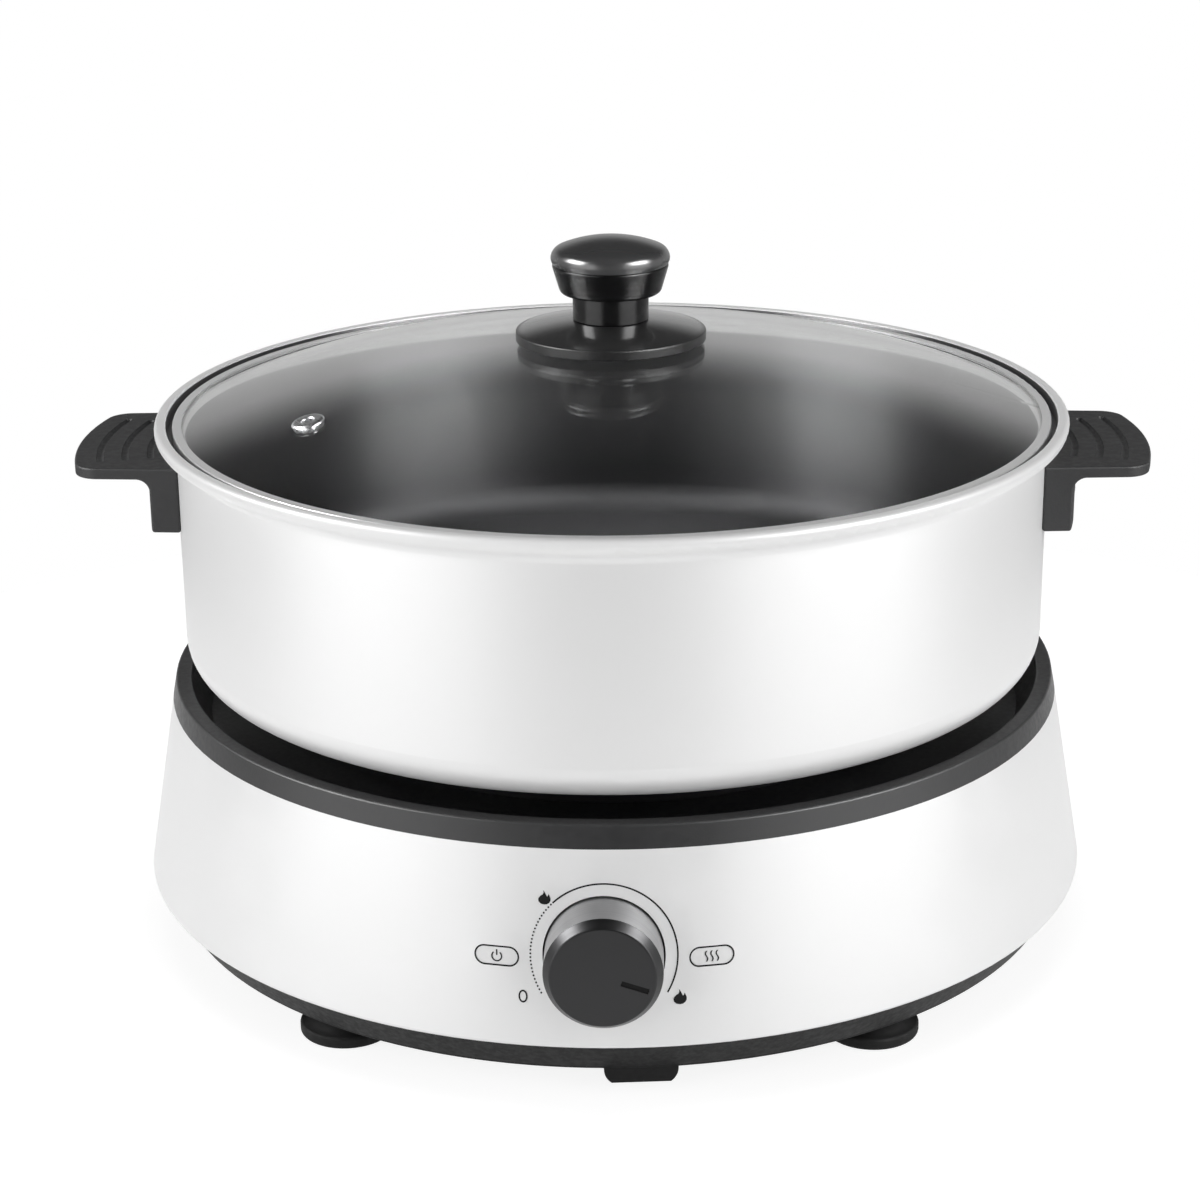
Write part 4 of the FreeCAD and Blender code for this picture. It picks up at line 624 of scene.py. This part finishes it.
VIEW_TURN = math.radians(1.35)  # how far the camera stands round from the front
CAMERA_REACH = 0.95024
CAMERA_HEIGHT = 0.44149
CAMERA_PITCH = math.radians(19.056)
CAMERA_ROLL = math.radians(-0.4995)
CAMERA_SENSOR = 36
CAMERA_LENS = 83.156
CAMERA_SHIFT = -0.01103
CAMERA_CLIP = (0.02, 50)

FLOOR_RADIUS = 0.46
FLOOR_DROP = 0.0003
FLOOR_GLOW = 0.86
FLOOR_WHITE = (0.9, 0.9, 0.9)  # what the floor bounces to the object
FLOOR_ROUGHNESS = 0.9
FLOOR_SHEET = (0.36, 0.36, 0.36)  # what the eye sees on top of the glow, with the shadow on it

STUDIO_FRONT = 0.06
STUDIO_BACK = 0.57
STUDIO_TOP = 0.03
STUDIO_LOW = 0.3
STUDIO_FILL = 0.15
# Parts of a direction's length, backwards and upwards, between which the studio changes.
TO_BACK = (-0.6, 0.3)
TO_TOP = (0.2, 0.45)
FROM_LOW = (-0.3, -0.05)
TO_HORIZON = (-0.1, -0.02)

SOFT_MARGIN = 0.3  # share of a panel's sides over which its light falls off
AIM_HEIGHT = 0.15
PANEL_REACH = 1.2
BOX_SIZE = (1.2, 1.5)
BOX_GLOW = 2.1
LAMP_RISE = math.radians(33)
LAMP_SIZE = (0.7, 0.5)
LAMP_GLOW = 20.0
# How far the box and the lamp of a side are turned round from the camera.
SIDES = {
    "left": (math.radians(-54), math.radians(-78)),
    "right": (math.radians(54), math.radians(62)),
}
# Place, size and glow of the panels that no reflection shows.
FILL_AIM = (0, 0, 0.1)
FILLS = {
    "top_box": ((0, 0, 1.5), (1.0, 1.0), 2.0),
    "back_box": ((0, 1.4, 0.5), (1.4, 1.0), 1.2),
}


def around(turn, reach, height):
    """A place that is turned round the object from the camera's side."""
    angle = VIEW_TURN + turn
    return math.sin(angle) * reach, -math.cos(angle) * reach, height


def make_camera():
    data = bpy.data.cameras.new("camera")
    data.sensor_width = CAMERA_SENSOR
    data.lens = CAMERA_LENS
    data.shift_x = CAMERA_SHIFT
    data.clip_start, data.clip_end = CAMERA_CLIP
    item = add_object("camera", data)
    place = Matrix.Translation(around(0, CAMERA_REACH, CAMERA_HEIGHT))
    turn = Matrix.Rotation(VIEW_TURN, 4, "Z")
    pitch = Matrix.Rotation(math.pi / 2 - CAMERA_PITCH, 4, "X")
    roll = Matrix.Rotation(CAMERA_ROLL, 4, "Z")
    item.matrix_world = place @ turn @ pitch @ roll
    scene.camera = item


def make_floor():
    """A plain round sheet of white paper, with the pot's soft shadow on it."""
    mesh = bmesh.new()
    bmesh.ops.create_circle(mesh, cap_ends=True, segments=96, radius=FLOOR_RADIUS)
    item = add_mesh("floor", mesh)
    item.location.z = -FLOOR_DROP
    made = Material("floor_paper", FLOOR_WHITE, FLOOR_ROUGHNESS)
    glow = made.add("ShaderNodeEmission", {1: FLOOR_GLOW}).outputs[0]
    sheet = made.add("ShaderNodeBsdfDiffuse", (FLOOR_SHEET,)).outputs[0]
    seen = made.add("ShaderNodeAddShader", (glow, sheet)).outputs[0]
    path = made.add("ShaderNodeLightPath").outputs
    sight = made.math("MAXIMUM", path["Is Camera Ray"], path["Is Glossy Ray"])
    sight = made.math("MAXIMUM", sight, path["Is Transmission Ray"])
    made.feed(made.output.inputs[0], made.pick(sight, made.shader.outputs[0], seen))
    item.data.materials.append(made.material)


def make_world():
    """A white studio: plain white to the camera; in reflections it is dim overhead and in front."""
    world = bpy.data.worlds.new("studio")
    scene.world = world
    tree = Tree(world)
    tree.nodes.clear()

    def background(strength):
        return tree.add("ShaderNodeBackground", ((1, 1, 1), strength)).outputs[0]

    direction = tree.add("ShaderNodeTexCoord").outputs["Generated"]
    _, back, up = tree.split(direction)
    depth = tree.smooth(back, TO_BACK, (STUDIO_FRONT, STUDIO_BACK))
    shade = tree.product(depth, tree.smooth(up, TO_TOP, (1.0, STUDIO_TOP)))
    mirrored = tree.product(shade, tree.smooth(up, FROM_LOW, (STUDIO_LOW, 1.0)))
    through = tree.math("MAXIMUM", tree.smooth(up, TO_HORIZON, (1.0, 0.0)), shade)
    path = tree.add("ShaderNodeLightPath").outputs
    light = tree.pick(path["Is Glossy Ray"], background(STUDIO_FILL), background(mirrored))
    light = tree.pick(path["Is Transmission Ray"], light, background(through))
    light = tree.pick(path["Is Camera Ray"], light, background(1.0))
    tree.add("ShaderNodeOutputWorld", (light,))


def area_light(name, place, aim, size, glow):
    """A soft-edged panel, at half its brightness at the given size. The background's glow is 1."""
    data = bpy.data.lights.new(name, "AREA")
    data.shape = "RECTANGLE"
    data.size, data.size_y = (side / (1 - SOFT_MARGIN) for side in size)
    data.energy = glow * math.pi * data.size * data.size_y
    tree = Tree(data)
    across, up, _ = tree.split(tree.add("ShaderNodeNewGeometry").outputs["Parametric"])
    inwards = [tree.math("PINGPONG", side, 0.5) for side in (across, up)]
    fades = [tree.smooth(share, (0, SOFT_MARGIN)) for share in inwards]
    emission = next(node for node in tree.nodes if node.type == "EMISSION")
    tree.feed(emission.inputs["Strength"], tree.product(*fades))
    item = add_object(name, data)
    turn = (Vector(aim) - Vector(place)).to_track_quat("-Z", "Y").to_matrix().to_4x4()
    item.matrix_world = Matrix.Translation(place) @ turn
    return item


make_camera()
make_floor()
make_world()
middle = (0, 0, AIM_HEIGHT)
lamp_reach = PANEL_REACH * math.cos(LAMP_RISE)
lamp_height = AIM_HEIGHT + PANEL_REACH * math.sin(LAMP_RISE)
for name, (box_turn, lamp_turn) in SIDES.items():
    place = around(box_turn, PANEL_REACH, AIM_HEIGHT)
    area_light(f"{name}_box", place, middle, BOX_SIZE, BOX_GLOW)
    place = around(lamp_turn, lamp_reach, lamp_height)
    lamp = area_light(f"{name}_lamp", place, middle, LAMP_SIZE, LAMP_GLOW)
    lamp.visible_diffuse = False
for name, (place, size, glow) in FILLS.items():
    fill = area_light(name, place, FILL_AIM, size, glow)
    fill.visible_glossy = False
    fill.visible_transmission = False

scene.view_settings.view_transform = "Standard"
